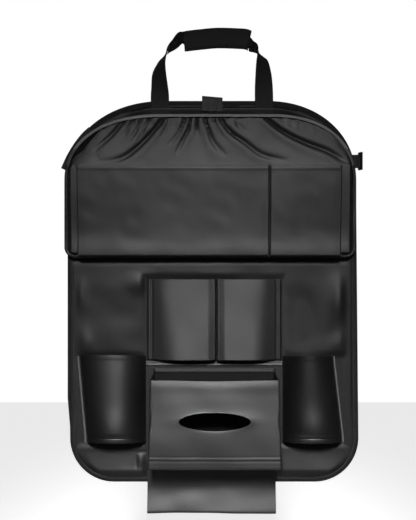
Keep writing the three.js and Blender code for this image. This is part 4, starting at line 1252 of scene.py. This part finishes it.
@dataclass
class UpperSection(Part):
    """The padded upper section with its elastic-topped pocket and patch pockets."""

    sheet_inset: float = 1.5
    front_thick: float = 1.8
    back_thick: float = 1.0
    strip_thick: float = 2.6
    strip_depth: float = 10.0
    strip_half: float = 198.0
    strip_span: tuple[float, float] = (50.6, 72.0)
    tape_width: float = 5.0
    # Heights where the painted highlight on the upper binding steps down.
    highlight_step_heights: tuple[float, float] = (212.0, 188.0)
    inset: float = 5.3
    mouth_gap: float = 3.5
    mouth_side: float = 1.5
    mouth_stand: float = 3.0
    droop: float = 17.0
    droop_centre: float = -192.0
    droop_spread: float = 20.0
    fullness: float = 7.0
    bulge: float = 6.0
    side_slope: float = 8.0
    foot_slope: float = 3.0
    foot_roll: float = 1.2
    hem: float = 8.0
    wobble_half: float = 190.0
    elastic_gap: float = 1.1
    elastic_thick: float = 0.7
    columns: int = 330
    rows: int = 130
    flank: float = 3.2
    groove: float = 2.4
    thick: float = 1.2
    patch_drop: float = 4.2
    patch_stand: float = 1.75
    patch_thick: float = 1.2
    patch_rows: int = 90
    patch_left: float = -195.2
    patch_seam: float = 87.0
    seam_half: float = 0.8
    patch_right: float = 192.2

    @property
    def half(self) -> float:
        """Half of the pocket's width."""
        return UPPER_OUTLINE.half_width - self.inset

    def mouth(self, x: np.ndarray) -> np.ndarray:
        """Height of the pocket's mouth at X from the section's centre line."""
        o = UPPER_OUTLINE
        shoulder = np.where(x < 0, o.left.width, o.right.width)
        reach = np.clip(
            (np.abs(x) - (o.half_width - shoulder)) / (shoulder - self.inset - self.mouth_side), 0, 1
        )
        arch = (1 - reach**o.power) ** (1 / o.power)
        rise = o.shoulder_height - self.inset - self.mouth_gap
        droop = self.droop * bell((x - self.droop_centre) / self.droop_spread)
        return o.top - o.shoulder_height + rise * arch - droop * (1 - reach**8)

    def foot(self, x: np.ndarray) -> np.ndarray:
        """Height of the pocket's foot at X."""
        r = UPPER_OUTLINE.corner - self.inset
        past = np.clip(np.abs(x) - (self.half - r), 0, r)
        return UPPER_BOTTOM + self.inset + r - np.sqrt(r**2 - past**2)

    def depth(self, x: np.ndarray, z: np.ndarray, folds: bool = True) -> np.ndarray:
        """Depth of the pocket's outer face."""
        low = UPPER_BOTTOM + self.inset
        lip = self.mouth(x)
        base = np.minimum(PATCH_TOP, lip - self.hem - 3)
        rise = np.clip((z - base) / (lip - base), 0, 1)
        sides = smoothstep((self.half - np.abs(x)) / self.side_slope)
        foot = smoothstep((z - low) / self.foot_slope)
        roll = self.foot_roll * bell((z - low - 8) / 12) * foot
        swell = smoothstep((z - low) / (base - low))
        belly = mix(self.bulge * swell, self.mouth_stand, rise**0.8)
        soft = 0.35 * waves(x, z, 80, Seed.POCKET_SLOW) + 0.1 * waves(x, z, 26, Seed.POCKET_FINE)
        flank = self.flank * smoothstep((np.abs(x) - 60) / 90) * swell * (1 - rise)
        total = self.fullness * foot + roll + belly + flank + soft * smoothstep((z - low) / 30)
        if folds:
            world = x + UPPER_OUTLINE.shift
            fold = sum(g.height(world, z) for g in GATHERS)
            pucker = 0.5 * np.sin(world / 2.3 + 2 * np.sin(world / 19)) * smoothstep((rise - 0.72) / 0.2)
            pucker = pucker * mix(0.3, 1.0, smoothstep((100 - np.abs(world + 40)) / 30))
            total = total + (fold + pucker) * smoothstep((z - base) / 14)
        return POCKET_SEAT + sides * np.maximum(total, 0.3)

    def build(self) -> None:
        """Build and dress the pieces."""
        self._cover()
        self._binding()
        self._pocket()
        self._elastic()
        self._patches()

    def _cover(self) -> None:
        """The section's own sheets and the strip that sews it to the panel."""
        leather = self.palette.get(LEATHERETTE)
        x, z, inside = outline_grid(UPPER_OUTLINE, self.sheet_inset, eased(90), 100)
        dip = 0.2 * smoothstep(inside / 12) * waves(x, z, 60, Seed.COVER)
        front = points_of(x, UPPER_FACE - 0.2 + dip, z)
        # The front cover shows only in the gap behind the pocket's mouth; its near-black finish is painted
        # shade there.
        face = sheet_object("upper_front_cover", front, self.front_thick, self.palette.get(SHADE_BACKING))
        finish_piece(face, "leatherette", "upper_front_sheet")
        back = points_of(x[::-1], UPPER_BACK + 1.7 - dip[::-1], z)
        behind = sheet_object("upper_back_cover", back, self.back_thick, leather)
        finish_piece(behind, "leatherette", "upper_back_sheet")
        x = np.linspace(-self.strip_half, self.strip_half, 90)[:, None] + UPPER_OUTLINE.shift
        z = np.linspace(*self.strip_span, 14)[None]
        strip = points_of(x, self.strip_depth - 0.35 * np.abs(np.sin(x / 37 + z / 9)), z)
        seam = sheet_object("upper_seam_tape", strip, self.strip_thick, leather)
        finish_piece(seam, "leatherette", "upper_seam_strip")

    def _binding(self) -> None:
        """The tape round the section, painted lighter along the top: a painted highlight in three steps,
        from the trim grey over the arch, through the piping grey, to the binding's own colour low on the
        sides.
        """
        section = tape_section(UPPER_BACK, UPPER_TAPE_FRONT, self.tape_width, 1.3, 1.2)
        highlight_tape_finish = self.palette.get(TRIM_HIGHLIGHT)
        tape = loop_object("upper_edge_binding", UPPER_OUTLINE, section, highlight_tape_finish, 0.3, Seed.TRIM_HIGHLIGHT)
        for finish in (PIPING_HIGHLIGHT, BINDING):
            tape.data.materials.append(self.palette.get(finish))
        # The painted highlight steps down at these heights.
        for face in tape.data.polygons:
            face.material_index = sum(face.center.z < limit * MM for limit in self.highlight_step_heights)
        finish_piece(tape, "leatherette", "upper_binding")

    def _grid(
        self, x: np.ndarray, low: np.ndarray, high: np.ndarray, rows: int
    ) -> tuple[np.ndarray, np.ndarray]:
        """X and heights of a grid between two edges, closer together at the top and the foot."""
        z = low[:, None] + (high - low)[:, None] * eased(rows, 0.5)[None]
        return np.broadcast_to(x[:, None], z.shape), z

    def _pocket(self) -> None:
        """The gathered pocket with its hem."""
        t = np.linspace(-1, 1, self.columns)
        x = self.half * np.sin(np.pi / 2 * t * (1.15 - 0.15 * np.abs(t)))
        x, z = self._grid(x, self.foot(x), self.mouth(x), self.rows)
        groove = self.groove * bell((x - self.patch_seam) / 1.5) * smoothstep((PATCH_TOP + 2 - z) / 5)
        wobble = 0.6 * np.sin(x / 3.1 + 3 * np.sin(x / 23)) * smoothstep((z - self.mouth(x) + 14) / 14)
        wobble = wobble * (np.abs(x) < self.wobble_half)
        outer = points_of(x + UPPER_OUTLINE.shift, self.depth(x, z) - groove, z + wobble)
        pocket = sheet_object("elastic_top_pocket", outer, self.thick, self.palette.get(LEATHERETTE))
        finish_piece(pocket, "leatherette", "gathered_pocket")

    def _elastic(self) -> None:
        """The elastic behind the hem."""
        x = np.linspace(-self.half + 9, self.half - 9, 260)
        lip = self.mouth(x)
        x, z = self._grid(x, lip - self.hem + 0.8, lip - 0.6, 9)
        outer = points_of(x + UPPER_OUTLINE.shift, self.depth(x, z) - self.thick - self.elastic_gap, z)
        band = sheet_object("pocket_elastic_band", outer, self.elastic_thick, self.palette.get(WEBBING))
        finish_piece(band, "webbing", "pocket_elastic")

    def _patches(self) -> None:
        """The two flat pockets on the front."""
        leather = self.palette.get(LEATHERETTE)
        low = UPPER_BOTTOM + self.inset + EDGE_GAP - self.patch_drop
        spans = (
            ("wide", self.patch_left, self.patch_seam - self.seam_half, 180),
            ("narrow", self.patch_seam + self.seam_half, self.patch_right, 90),
        )
        for name, start, end, columns in spans:
            x = mix(start, end, eased(columns, 0.7))
            foot, head = np.full(columns, low), np.full(columns, PATCH_TOP - EDGE_GAP)
            x, z = self._grid(x, foot, head, self.patch_rows)
            edge = np.minimum(x - start, end - x)
            pillow = 1.1 * smoothstep(edge / 1.5) + 0.5 * smoothstep(edge / 14) - 1.3
            top = 0.35 * bell((PATCH_TOP - z - 4) / 2.5)
            drop = self.patch_drop * smoothstep((low + 40 - z) / 40)
            d = self.depth(x, z + drop, folds=False) + self.patch_stand + pillow + top
            d = d + 0.14 * waves(x, z, 34, Seed.PATCH) * smoothstep(edge / 12)
            outer = points_of(x + UPPER_OUTLINE.shift, d, z)
            patch = sheet_object(f"patch_pocket_{name}_sheet", outer, self.patch_thick, leather)
            finish_piece(patch, "leatherette", f"patch_pocket_{name}")


# Phone pocket


@dataclass
class PhonePocket(SewnPart):
    """The two-lobed pocket under the upper section."""

    half: float = 101.5
    depth: float = 15.0
    ridge: float = 4.0
    ridge_width: float = 4.5
    pleat: float = 31.0
    lean: float = 7.0
    seam_x: float = 3.0
    seam_half: float = 2.2
    foot_taper: float = 2.5
    band_height: float = 8.4
    band_swell: float = 2.4
    columns: int = 300
    rows: int = 90
    thick: float = 1.4

    def face(self, x: np.ndarray, z: np.ndarray) -> np.ndarray:
        """Depth of the pocket's outer face."""
        edge = self.half - np.abs(x)
        ridge = self.ridge * smoothstep(edge / self.ridge_width)
        tuck = 1.6 * bell((edge - 8) / 2.2)
        run = np.clip(edge - 7, 0, None) / (self.pleat - 13)
        slope = (self.depth - self.ridge) * (1 - np.exp(-(run**1.6)))
        away = np.abs(x - self.seam_x)
        seam = 0.78 * smoothstep(away / self.seam_half) + 0.22 * smoothstep(away / 14)
        foot = mix(0.3, 1.0, smoothstep((z - PHONE_BOTTOM) / self.foot_taper))
        share = (z - PHONE_BOTTOM) / (PHONE_TOP - PHONE_BOTTOM)
        lean = self.lean * (0.5 - share) * smoothstep((edge - 7) / 40)
        crown = 0.9 * np.sin(np.pi * np.clip(away / 90, 0, 1)) ** 2
        soft = 0.4 * waves(x, z, 60, Seed.PHONE) * smoothstep((edge - 6) / 20)
        total = (ridge - tuck + slope + lean + crown + soft) * foot * seam
        return ON_PANEL + self.thick + np.maximum(total, 0)

    def build(self) -> None:
        """Build and dress the pieces."""
        z = mix(PHONE_BOTTOM, PHONE_TOP, eased(self.rows, 0.6))
        wide, high = np.meshgrid(self.half * np.linspace(-1, 1, self.columns), z, indexing="ij")
        outer = points_of(wide, self.face(wide, high), high)
        pocket = sheet_object("phone_pocket_sheet", outer, self.thick, self.palette.get(LEATHERETTE))
        finish_piece(pocket, "leatherette", "phone_pocket")
        self._band()
        rise = np.linspace(PHONE_BOTTOM + 3, PHONE_TOP - 2, 40)
        seam = points_of(self.seam_x, self.face(np.full(40, self.seam_x), rise) + 0.1, rise)
        self.stitching.sew("phone_pocket_stitches", [seam])

    def _band(self) -> None:
        """The bound foot of the pocket."""
        top = PHONE_BOTTOM - EDGE_GAP
        bottom = top - self.band_height
        section = [(ON_PANEL, bottom)]
        for share in np.linspace(0.01, 0.99, 18):
            swell = self.band_swell * smoothstep((0.85 - share) / 0.6) * smoothstep(share / 0.1)
            section.append((ON_PANEL + max(swell, 0.3), mix(bottom, top, share)))
        section.append((ON_PANEL, top))
        centres = points_of(np.linspace(-self.half, self.half, 110), 0.0, 0.0)
        cloth = self.palette.get(LEATHERETTE)
        band = sweep_object("phone_pocket_foot_band", centres, FORWARD, UPWARD, np.array(section), cloth)
        finish_piece(band, "leatherette", "phone_pocket_binding")
        row = points_of(centres[2:-2, 0], ON_PANEL + self.band_swell + 0.25, top - 2.0)
        self.stitching.sew("phone_band_stitches", [row])


# Tissue pocket


FLAP_PATH = (
    (9.5, -247.8),
    (12.2, -254),
    (12.0, -262),
    (10.6, -276),
    (9.2, -289),
    (9.1, -296),
    (10.0, -303),
    (11.6, -311),
    (13.3, -319),
    (14.5, -325),
    (14.9, -328),
    (14.3, -330.4),
)


@dataclass
class TissuePocket(SewnPart):
    """The box pocket with its lens-shaped slot, its back sheet and its flap."""

    top_width: float = 183.0
    foot_width: float = 188.0
    top_depth: float = 68.0
    foot_depth: float = 74.0
    belly: float = 3.0
    thick: float = 1.6
    fold: float = 2.8
    slot_half: float = 50.0
    slot_rise: float = 12.75
    slot_z: float = -179.6
    slot_hem: float = 3.2
    drawn: float = 2.2
    tape_radius: float = 1.3
    back_half: float = 88.8
    back_foot: float = -261.2
    back_depth: float = 8.2
    back_thick: float = 1.1
    uneven_from: float = -240.0
    flap_thick: float = 1.8
    columns: int = 241
    rows: int = 101
    flap_width: float = 191.0
    flap_shift: float = -4.0

    def plan(self, s: np.ndarray, v: np.ndarray) -> tuple[np.ndarray, np.ndarray]:
        """Plan of the folded wall.

        Args:
            s: Share of the way round, from the left seam over the front to the right one.
            v: Share of the height.

        Returns:
            X and depth.
        """
        half = mix(self.foot_width, self.top_width, v) / 2
        front = ON_PANEL + mix(self.foot_depth, self.top_depth, v * v)
        side = front - ON_PANEL - self.fold
        bend = self.fold * np.pi / 2
        flat = 2 * (half - self.fold)
        total = 2 * side + 2 * bend + flat
        run = s * total
        mirrored = run > total / 2
        run = np.where(mirrored, total - run, run)
        on_bend = np.clip(run - side, 0, bend) / self.fold
        x = half - self.fold * (1 - np.cos(on_bend)) - np.clip(run - side - bend, 0, None)
        d = ON_PANEL + np.minimum(run, side) + self.fold * np.sin(on_bend)
        centre = np.clip((run - side - bend) / np.maximum(flat / 2, 1), 0, 1)
        d = d + self.belly * np.sin(np.pi / 2 * centre) * np.sin(np.pi * v)
        return np.where(mirrored, x, -x), d

    def surface(self, s: np.ndarray, v: np.ndarray, inset: float = 0.0) -> np.ndarray:
        """Points of the wall at shares of its run and height."""
        x, d = self.plan(s, v)
        forward = np.clip((d - ON_PANEL) / self.top_depth, 0, 1)
        top = mix(TISSUE_TOP, TISSUE_FRONT_TOP, forward)
        z = mix(TISSUE_BOTTOM, top, v)
        soft = smoothstep((forward - 0.8) / 0.2)
        sag = 1.6 * bell(x / 60) * bell((v - 1) / 0.12) * soft
        d = d + soft * self._relief(x, z)
        side = 1 - soft
        x = x + side * np.sign(x) * (-1.6 * np.sin(np.pi * np.clip((d - 7) / 68, 0, 1)) * (0.4 + 0.6 * v))
        return np.stack([x, d, z - sag], axis=-1)

    def build(self) -> None:
        """Build and dress the pieces."""
        leather = self.palette.get(LEATHERETTE)
        self._wall(leather)
        self._foot_tape()
        self._back(leather)
        self._flap(leather)

    def _wall(self, leather: bpy.types.Material) -> None:
        """The folded wall, whose grid is drawn round the slot and opened there."""
        shares = np.linspace(0, 1, self.columns), np.linspace(0, 1, self.rows)
        s, v = np.meshgrid(*shares, indexing="ij")
        points = self.surface(s, v)
        x, z = points[..., 0], points[..., 2]
        radius = np.hypot(x / self.slot_half, (z - self.slot_z) / self.slot_rise) + 1e-6
        near = (points[..., 1] > ON_PANEL + 60) & (radius < self.drawn)
        reach = 1 + (np.clip(radius, 0, self.drawn) / self.drawn) ** 2.2 * (self.drawn - 1)
        points[..., 0] = np.where(near, x / radius * reach, x)
        points[..., 2] = np.where(near, self.slot_z + (z - self.slot_z) / radius * reach, z)
        wall = sheet_object("tissue_pocket_front", points, self.thick, leather)
        self._cut(wall, near & (radius < 0.32))
        finish_piece(wall, "leatherette", "tissue_pocket_wall")
        hem = (self.slot_half + self.slot_hem, self.slot_rise + self.slot_hem)
        x, z = (round_section(90) * hem + (0, self.slot_z)).T
        ring = points_of(x, self._front_depth(x, z) + 0.2, z)
        self.stitching.sew("slot_stitches", [ring], closed=True)

    def _front_depth(self, x: np.ndarray, z: np.ndarray) -> np.ndarray:
        """Depth of the front face at a place on it."""
        v = np.clip((z - TISSUE_BOTTOM) / (TISSUE_FRONT_TOP - TISSUE_BOTTOM), 0, 1)
        front = ON_PANEL + mix(self.foot_depth, self.top_depth, v * v)
        half = mix(self.foot_width, self.top_width, v) / 2 - self.fold
        share = np.clip(1 - np.abs(x) / half, 0, 1)
        bulge = self.belly * np.sin(np.pi / 2 * share) * np.sin(np.pi * v)
        return front + bulge + self._relief(x, z)

    def _relief(self, x: np.ndarray, z: np.ndarray) -> np.ndarray:
        """Slow unevenness of the front face, its rolled top and the fold lines near its foot."""
        uneven = 0.5 * waves(x, z, 70, Seed.TISSUE_FRONT)
        top = 0.9 * bell((z + 129) / 9)
        folds = -0.45 * bell((z + 235) / 1.0) + 0.35 * bell((z + 232) / 1.6) - 0.3 * bell((z + 229) / 1.0)
        return uneven + top + folds

    @staticmethod
    def _cut(wall: bpy.types.Object, hole: np.ndarray) -> None:
        """Open the slot: drop the faces inside it and join its two faces with a rim."""
        mesh = wall.data
        inside = set(np.flatnonzero(hole.ravel()).tolist())
        count = hole.size
        work = bmesh.new()
        work.from_mesh(mesh)
        work.verts.ensure_lookup_table()
        gone = [
            f
            for f in work.faces
            if all(vert.index < 2 * count and (vert.index % count) in inside for vert in f.verts)
        ]
        bmesh.ops.delete(work, geom=gone, context="FACES")
        loose = [vert for vert in work.verts if not vert.link_faces]
        bmesh.ops.delete(work, geom=loose, context="VERTS")
        bmesh.ops.bridge_loops(work, edges=[e for e in work.edges if e.is_boundary])
        bmesh.ops.recalc_face_normals(work, faces=work.faces)
        for f in work.faces:
            f.smooth = True
        work.to_mesh(mesh)
        work.free()
        mesh.set_sharp_from_angle(angle=math.radians(CREASE_ANGLE))

    def _foot_tape(self) -> None:
        """The narrow tape along the wall's foot."""
        base = self.surface(np.linspace(0, 1, 200), np.zeros(200))
        middle = TISSUE_BOTTOM - EDGE_GAP - self.tape_radius
        section = self.tape_radius * round_section(16) + (-self.thick / 2, middle)
        centres = points_of(base[:, 0], np.maximum(base[:, 1], ON_PANEL), 0.0)
        # The darker tape finish here is painted shade.
        cloth = self.palette.get(SHADED_TAPE)
        tape = sweep_object("tissue_pocket_foot_tape", centres, level_side(base), UPWARD, section, cloth)
        finish_piece(tape, "leatherette", "tissue_pocket_binding")

    def _back(self, leather: bpy.types.Material) -> None:
        """The back sheet, whose hem shows over the front wall."""
        x = np.linspace(-self.back_half, self.back_half, 100)
        hem_foot = TISSUE_TOP - 5.5
        hem_rows = np.linspace(hem_foot, TISSUE_TOP, 10)
        z = np.concatenate([np.linspace(self.back_foot, TISSUE_TOP - 6, 60), hem_rows])
        wide, high = np.meshgrid(x, z, indexing="ij")
        hem = 0.9 * smoothstep((high - TISSUE_TOP + 6) / 1.2)
        uneven = 0.12 * waves(wide, high, 50, Seed.TISSUE_BACK) * (high > self.uneven_from)
        outer = points_of(wide, self.back_depth + hem + uneven, high)
        back = sheet_object("tissue_pocket_back_sheet", outer, self.back_thick, leather)
        # Below the hem the sheet takes the near-black finish: painted shade in the pocket's mouth and behind
        # the slot.
        back.data.materials.append(self.palette.get(SHADE_BACKING))
        for face in back.data.polygons:
            face.material_index = int(face.center.z < hem_foot * MM)
        finish_piece(back, "leatherette", "tissue_pocket_back")

    def _flap(self, leather: bpy.types.Material) -> None:
        """The flap that hangs below the pocket and kicks forward at its hem."""
        line = resample(spline(FLAP_PATH, 12), 1.3, closed=False)
        x = np.linspace(-self.flap_width / 2, self.flap_width / 2, 130)[:, None]
        v = np.linspace(0, 1, len(line))[None]
        free = smoothstep((v - 0.25) / 0.6)
        ripple = free * (1.1 * np.sin(x / 31 + 0.6) + 0.5 * waves(x, v * 80, 48, Seed.FLAP))
        depth = line[None, :, 0] + 1.0 + ripple
        height = line[None, :, 1] + free * 0.9 * np.sin(x / 44 + 2)
        outer = points_of(x + self.flap_shift, depth, height)[:, ::-1]
        flap = sheet_object("tissue_pocket_flap", outer, self.flap_thick, leather)
        finish_piece(flap, "leatherette", "tissue_flap")


# Bottle pockets


@dataclass
class BottlePocket(Part):
    """One bottle pocket: its sheet, foot band, base and side piping."""

    name: str
    side: int
    spread: float
    inner: float = 102.4
    foot_width: float = 88.0
    height: float = 122.0
    girth: float = 134.0
    front_rise: float = 6.0
    foot_tilt: float = 8.0
    slump: float = 2.2
    crease: float = 0.28
    thick: float = 1.5
    band_low: float = -226.0
    band_height: float = 6.5
    base_thick: float = 1.3
    piping_radius: float = 1.5
    piping_gap: float = 2.5
    columns: int = 130
    rows: int = 80

    @property
    def low(self) -> float:
        """Height of the sheet's foot."""
        return self.band_low + self.band_height + EDGE_GAP

    def plan(self, v: np.ndarray) -> tuple[np.ndarray, np.ndarray, np.ndarray, np.ndarray]:
        """Centre X, half-width, depth and outer edge at a share of the height."""
        outer = self.inner + self.foot_width + self.spread * v
        half = (outer - self.inner) / 2
        depth = np.sqrt(np.maximum(9, 2 * (self.girth / np.pi) ** 2 - half**2))
        return self.side * (self.inner + outer) / 2, half, depth, outer

    def point(self, v: np.ndarray, angle: np.ndarray, inset: float, z: np.ndarray) -> np.ndarray:
        """A point of the half-round wall."""
        centre, half, depth, _ = self.plan(v)
        x = centre - (half - inset) * np.cos(angle)
        return points_of(x, ON_PANEL + (depth - inset) * np.sin(angle), z)

    def lift(self, depth: np.ndarray) -> np.ndarray:
        """How far the tilted foot lies above its back edge, at a depth."""
        return self.foot_tilt * (depth - ON_PANEL) / self.plan(np.array(0.0))[2]

    def build(self) -> None:
        """Build and dress the pieces."""
        # The darker copy of the leatherette is painted shade on the pocket's round sides.
        leather = self.palette.get(BOTTLE_SHADED_LEATHERETTE)
        turn = np.linspace(0, np.pi, self.columns)
        angle, v = np.meshgrid(turn, np.linspace(0, 1, self.rows), indexing="ij")
        bulk = np.sin(angle)
        top = self.low + self.height + self.front_rise * bulk
        z = mix(self.low + self.foot_tilt * bulk, top, v)
        outer = self.point(v, angle, 0.0, z)
        uneven = waves(angle * 40, z * 0.35, 50, Seed.BOTTLE + self.side)
        crease = self.crease * uneven * bulk * smoothstep(v * 4)
        hem = 0.3 * smoothstep((z - top + 7) / 1.5)
        slump = self.slump * bulk**2 * bell((v - 0.12) / 0.2) * smoothstep(v / 0.06)
        outer[..., 1] += (crease + slump + hem * bulk) * smoothstep(bulk * 3)
        outer[..., 0] += -np.cos(angle) * (crease + hem) * smoothstep(bulk * 3)
        sheet = sheet_object(f"{self.name}_bottle_sheet", outer, self.thick, leather)
        finish_piece(sheet, "leatherette", f"{self.name}_bottle_pocket")
        self._band(turn)
        self._base(turn)
        self._piping()

    def _band(self, turn: np.ndarray) -> None:
        """The band round the pocket's foot."""
        centres = self.point(np.zeros(len(turn)), turn, self.thick / 2, 0.0)
        out = level_side(centres)
        half = self.band_height / 2
        section = round_section(24, 0.6) * (0.95, half) + (0, self.band_low + half)
        centres[:, 1] = np.maximum(centres[:, 1], ON_PANEL + 0.2)
        centres[:, 2] = self.lift(centres[:, 1])
        # The band takes the same darker copy: painted shade.
        cloth = self.palette.get(BOTTLE_SHADED_LEATHERETTE)
        band = sweep_object(f"{self.name}_bottle_foot_band", centres, out, UPWARD, section, cloth)
        finish_piece(band, "leatherette", f"{self.name}_bottle_band")

    def _base(self, turn: np.ndarray) -> None:
        """The flat base, slightly sagged."""
        rings = np.linspace(0.0, 1.0, 14)[None, :]
        edge = self.point(np.zeros(len(turn)), turn, self.thick + EDGE_GAP, 0.0)
        middle = np.array([self.side * (self.inner + self.foot_width / 2), ON_PANEL + 12.0, 0.0])
        points = middle + (edge[:, None, :] - middle) * (0.02 + 0.98 * rings[..., None])
        sag = 0.9 * (1 - rings**2)
        points[..., 2] = self.band_low + EDGE_GAP + 1.8 - sag + self.lift(points[..., 1])
        leather = self.palette.get(LEATHERETTE)
        base = sheet_object(f"{self.name}_bottle_floor", points, self.base_thick, leather)
        finish_piece(base, "leatherette", f"{self.name}_bottle_base")

    def _piping(self) -> None:
        """The cord-like edge along the outer side."""
        radius, middle = self.piping_radius, self.low + self.height / 2
        stops = []
        for v, z in ((0.0, self.band_low), (0.0, self.low), (0.5, middle), (1.0, self.low + self.height)):
            x = self.side * (self.plan(np.array(v))[3] + self.piping_gap)
            stops.append((x, ON_PANEL + radius, z))
        line = resample(np.array(stops, dtype=float), 2.0, closed=False)
        # The cord's light grey finish is a painted highlight.
        section, cloth = radius * round_section(14), self.palette.get(PIPING_HIGHLIGHT)
        cord = sweep_object(f"{self.name}_bottle_side_piping", line, SIDEWAYS, FORWARD, section, cloth)
        finish_piece(cord, "leatherette", f"{self.name}_bottle_piping")


# Studio


@dataclass(frozen=True)
class Lamp:
    """A soft rectangular lamp. Its spread is the angle of its beam in degrees."""

    name: str
    place: tuple[float, float, float]
    target: tuple[float, float, float]
    size: float
    power: float
    spread: float

    def build(self) -> None:
        """Set the lamp up."""
        data = bpy.data.lights.new(self.name, "AREA")
        data.shape = "RECTANGLE"
        data.size = data.size_y = self.size
        data.energy = self.power
        data.spread = math.radians(self.spread)
        lamp = link(self.name, data)
        lamp.location = self.place
        aim = Vector(self.target) - Vector(self.place)
        lamp.rotation_euler = aim.to_track_quat("-Z", "Y").to_euler()


LAMPS = (
    Lamp("key_softbox", (0.0, -3.2, 1.55), (0.0, 0.0, -0.4), 0.6, 4.9, 18.0),
    Lamp("fill_softbox", (-0.2, -2.6, 0.3), (0.0, 0.0, 0.0), 0.9, 1.0, 180.0),
    Lamp("back_softbox", (0.5, 3.2, 0.6), (0.0, 0.0, -0.1), 0.6, 2.5, 18.0),
)


@dataclass
class Studio:
    """Floor, backdrop, lamps and camera."""

    camera_place: tuple[float, float, float] = (-9.4, -1107, 47)
    sensor_width: float = 36.0
    focal_share: float = 1100 / 780
    fill_strength: float = 0.02
    floor_height: float = -0.75
    floor_size: float = 6.0
    floor_shade: float = 0.8
    floor_glow: float = 0.8

    def build(self) -> None:
        """Make the surroundings."""
        self._camera()
        self._world()
        self._floor()
        for lamp in LAMPS:
            lamp.build()
        bpy.context.scene.view_settings.view_transform = "Standard"

    def _camera(self) -> None:
        """The camera of the front view."""
        data = bpy.data.cameras.new("camera")
        data.sensor_width = self.sensor_width
        data.lens = self.sensor_width * self.focal_share
        data.clip_start = 0.05
        data.clip_end = 20
        camera = link("camera", data)
        camera.location = tuple(c * MM for c in self.camera_place)
        camera.rotation_euler = (math.pi / 2, 0, 0)
        bpy.context.scene.camera = camera

    @staticmethod
    def _seen_directly(tree: bpy.types.NodeTree) -> bpy.types.NodeSocket:
        """1 for rays that show the backdrop, 0 for those that light the object."""
        path = add_node(tree, "ShaderNodeLightPath")
        return math_node(tree, "MAXIMUM", path["Is Camera Ray"], path["Is Transmission Ray"])

    def _world(self) -> None:
        """White to the camera, and a dim even light for the object."""
        world = bpy.data.worlds.new("studio")
        bpy.context.scene.world = world
        tree = material_tree(world)
        range_of = {"Value": self._seen_directly(tree), "To Min": self.fill_strength, "To Max": 1.0}
        level = add_node(tree, "ShaderNodeMapRange", range_of)["Result"]
        feed(tree, tree.nodes["Background"], {"Color": (1, 1, 1, 1), "Strength": level})

    def _floor(self) -> None:
        """A pale floor below the hanging object."""
        half, z = self.floor_size / 2, self.floor_height
        mesh = bpy.data.meshes.new("floor")
        corners = [(-half, -half, z), (half, -half, z), (half, half, z), (-half, half, z)]
        mesh.from_pydata(corners, [], [(0, 1, 2, 3)])
        material = bpy.data.materials.new("pale_floor")
        tree = material_tree(material)
        glow = math_node(tree, "MULTIPLY", self._seen_directly(tree), self.floor_glow)
        white = (1, 1, 1, 1)
        shade = (self.floor_shade, self.floor_shade, self.floor_shade, 1)
        look = {"Base Color": shade, "Roughness": 0.9, "Emission Color": white, "Emission Strength": glow}
        feed(tree, tree.nodes["Principled BSDF"], look)
        mesh.materials.append(material)
        link("floor", mesh)


def main() -> None:
    """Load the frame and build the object."""
    logging.basicConfig(level=logging.INFO, format="%(name)s: %(message)s")
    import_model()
    Studio().build()
    palette = Palette()
    stitching = Stitching(palette)
    MainPanel(palette, stitching).build()
    UpperSection(palette).build()
    Handle(palette, stitching).build()
    SideStraps(palette).build()
    PhonePocket(palette, stitching).build()
    TissuePocket(palette, stitching).build()
    BottlePocket(palette, "left", -1, 11.0).build()
    BottlePocket(palette, "right", 1, -14.0, slump=3.8).build()
    for node in ("panel_board", "upper_board"):
        dress(node, palette.get(BOARD))


if __name__ == "__main__":
    main()
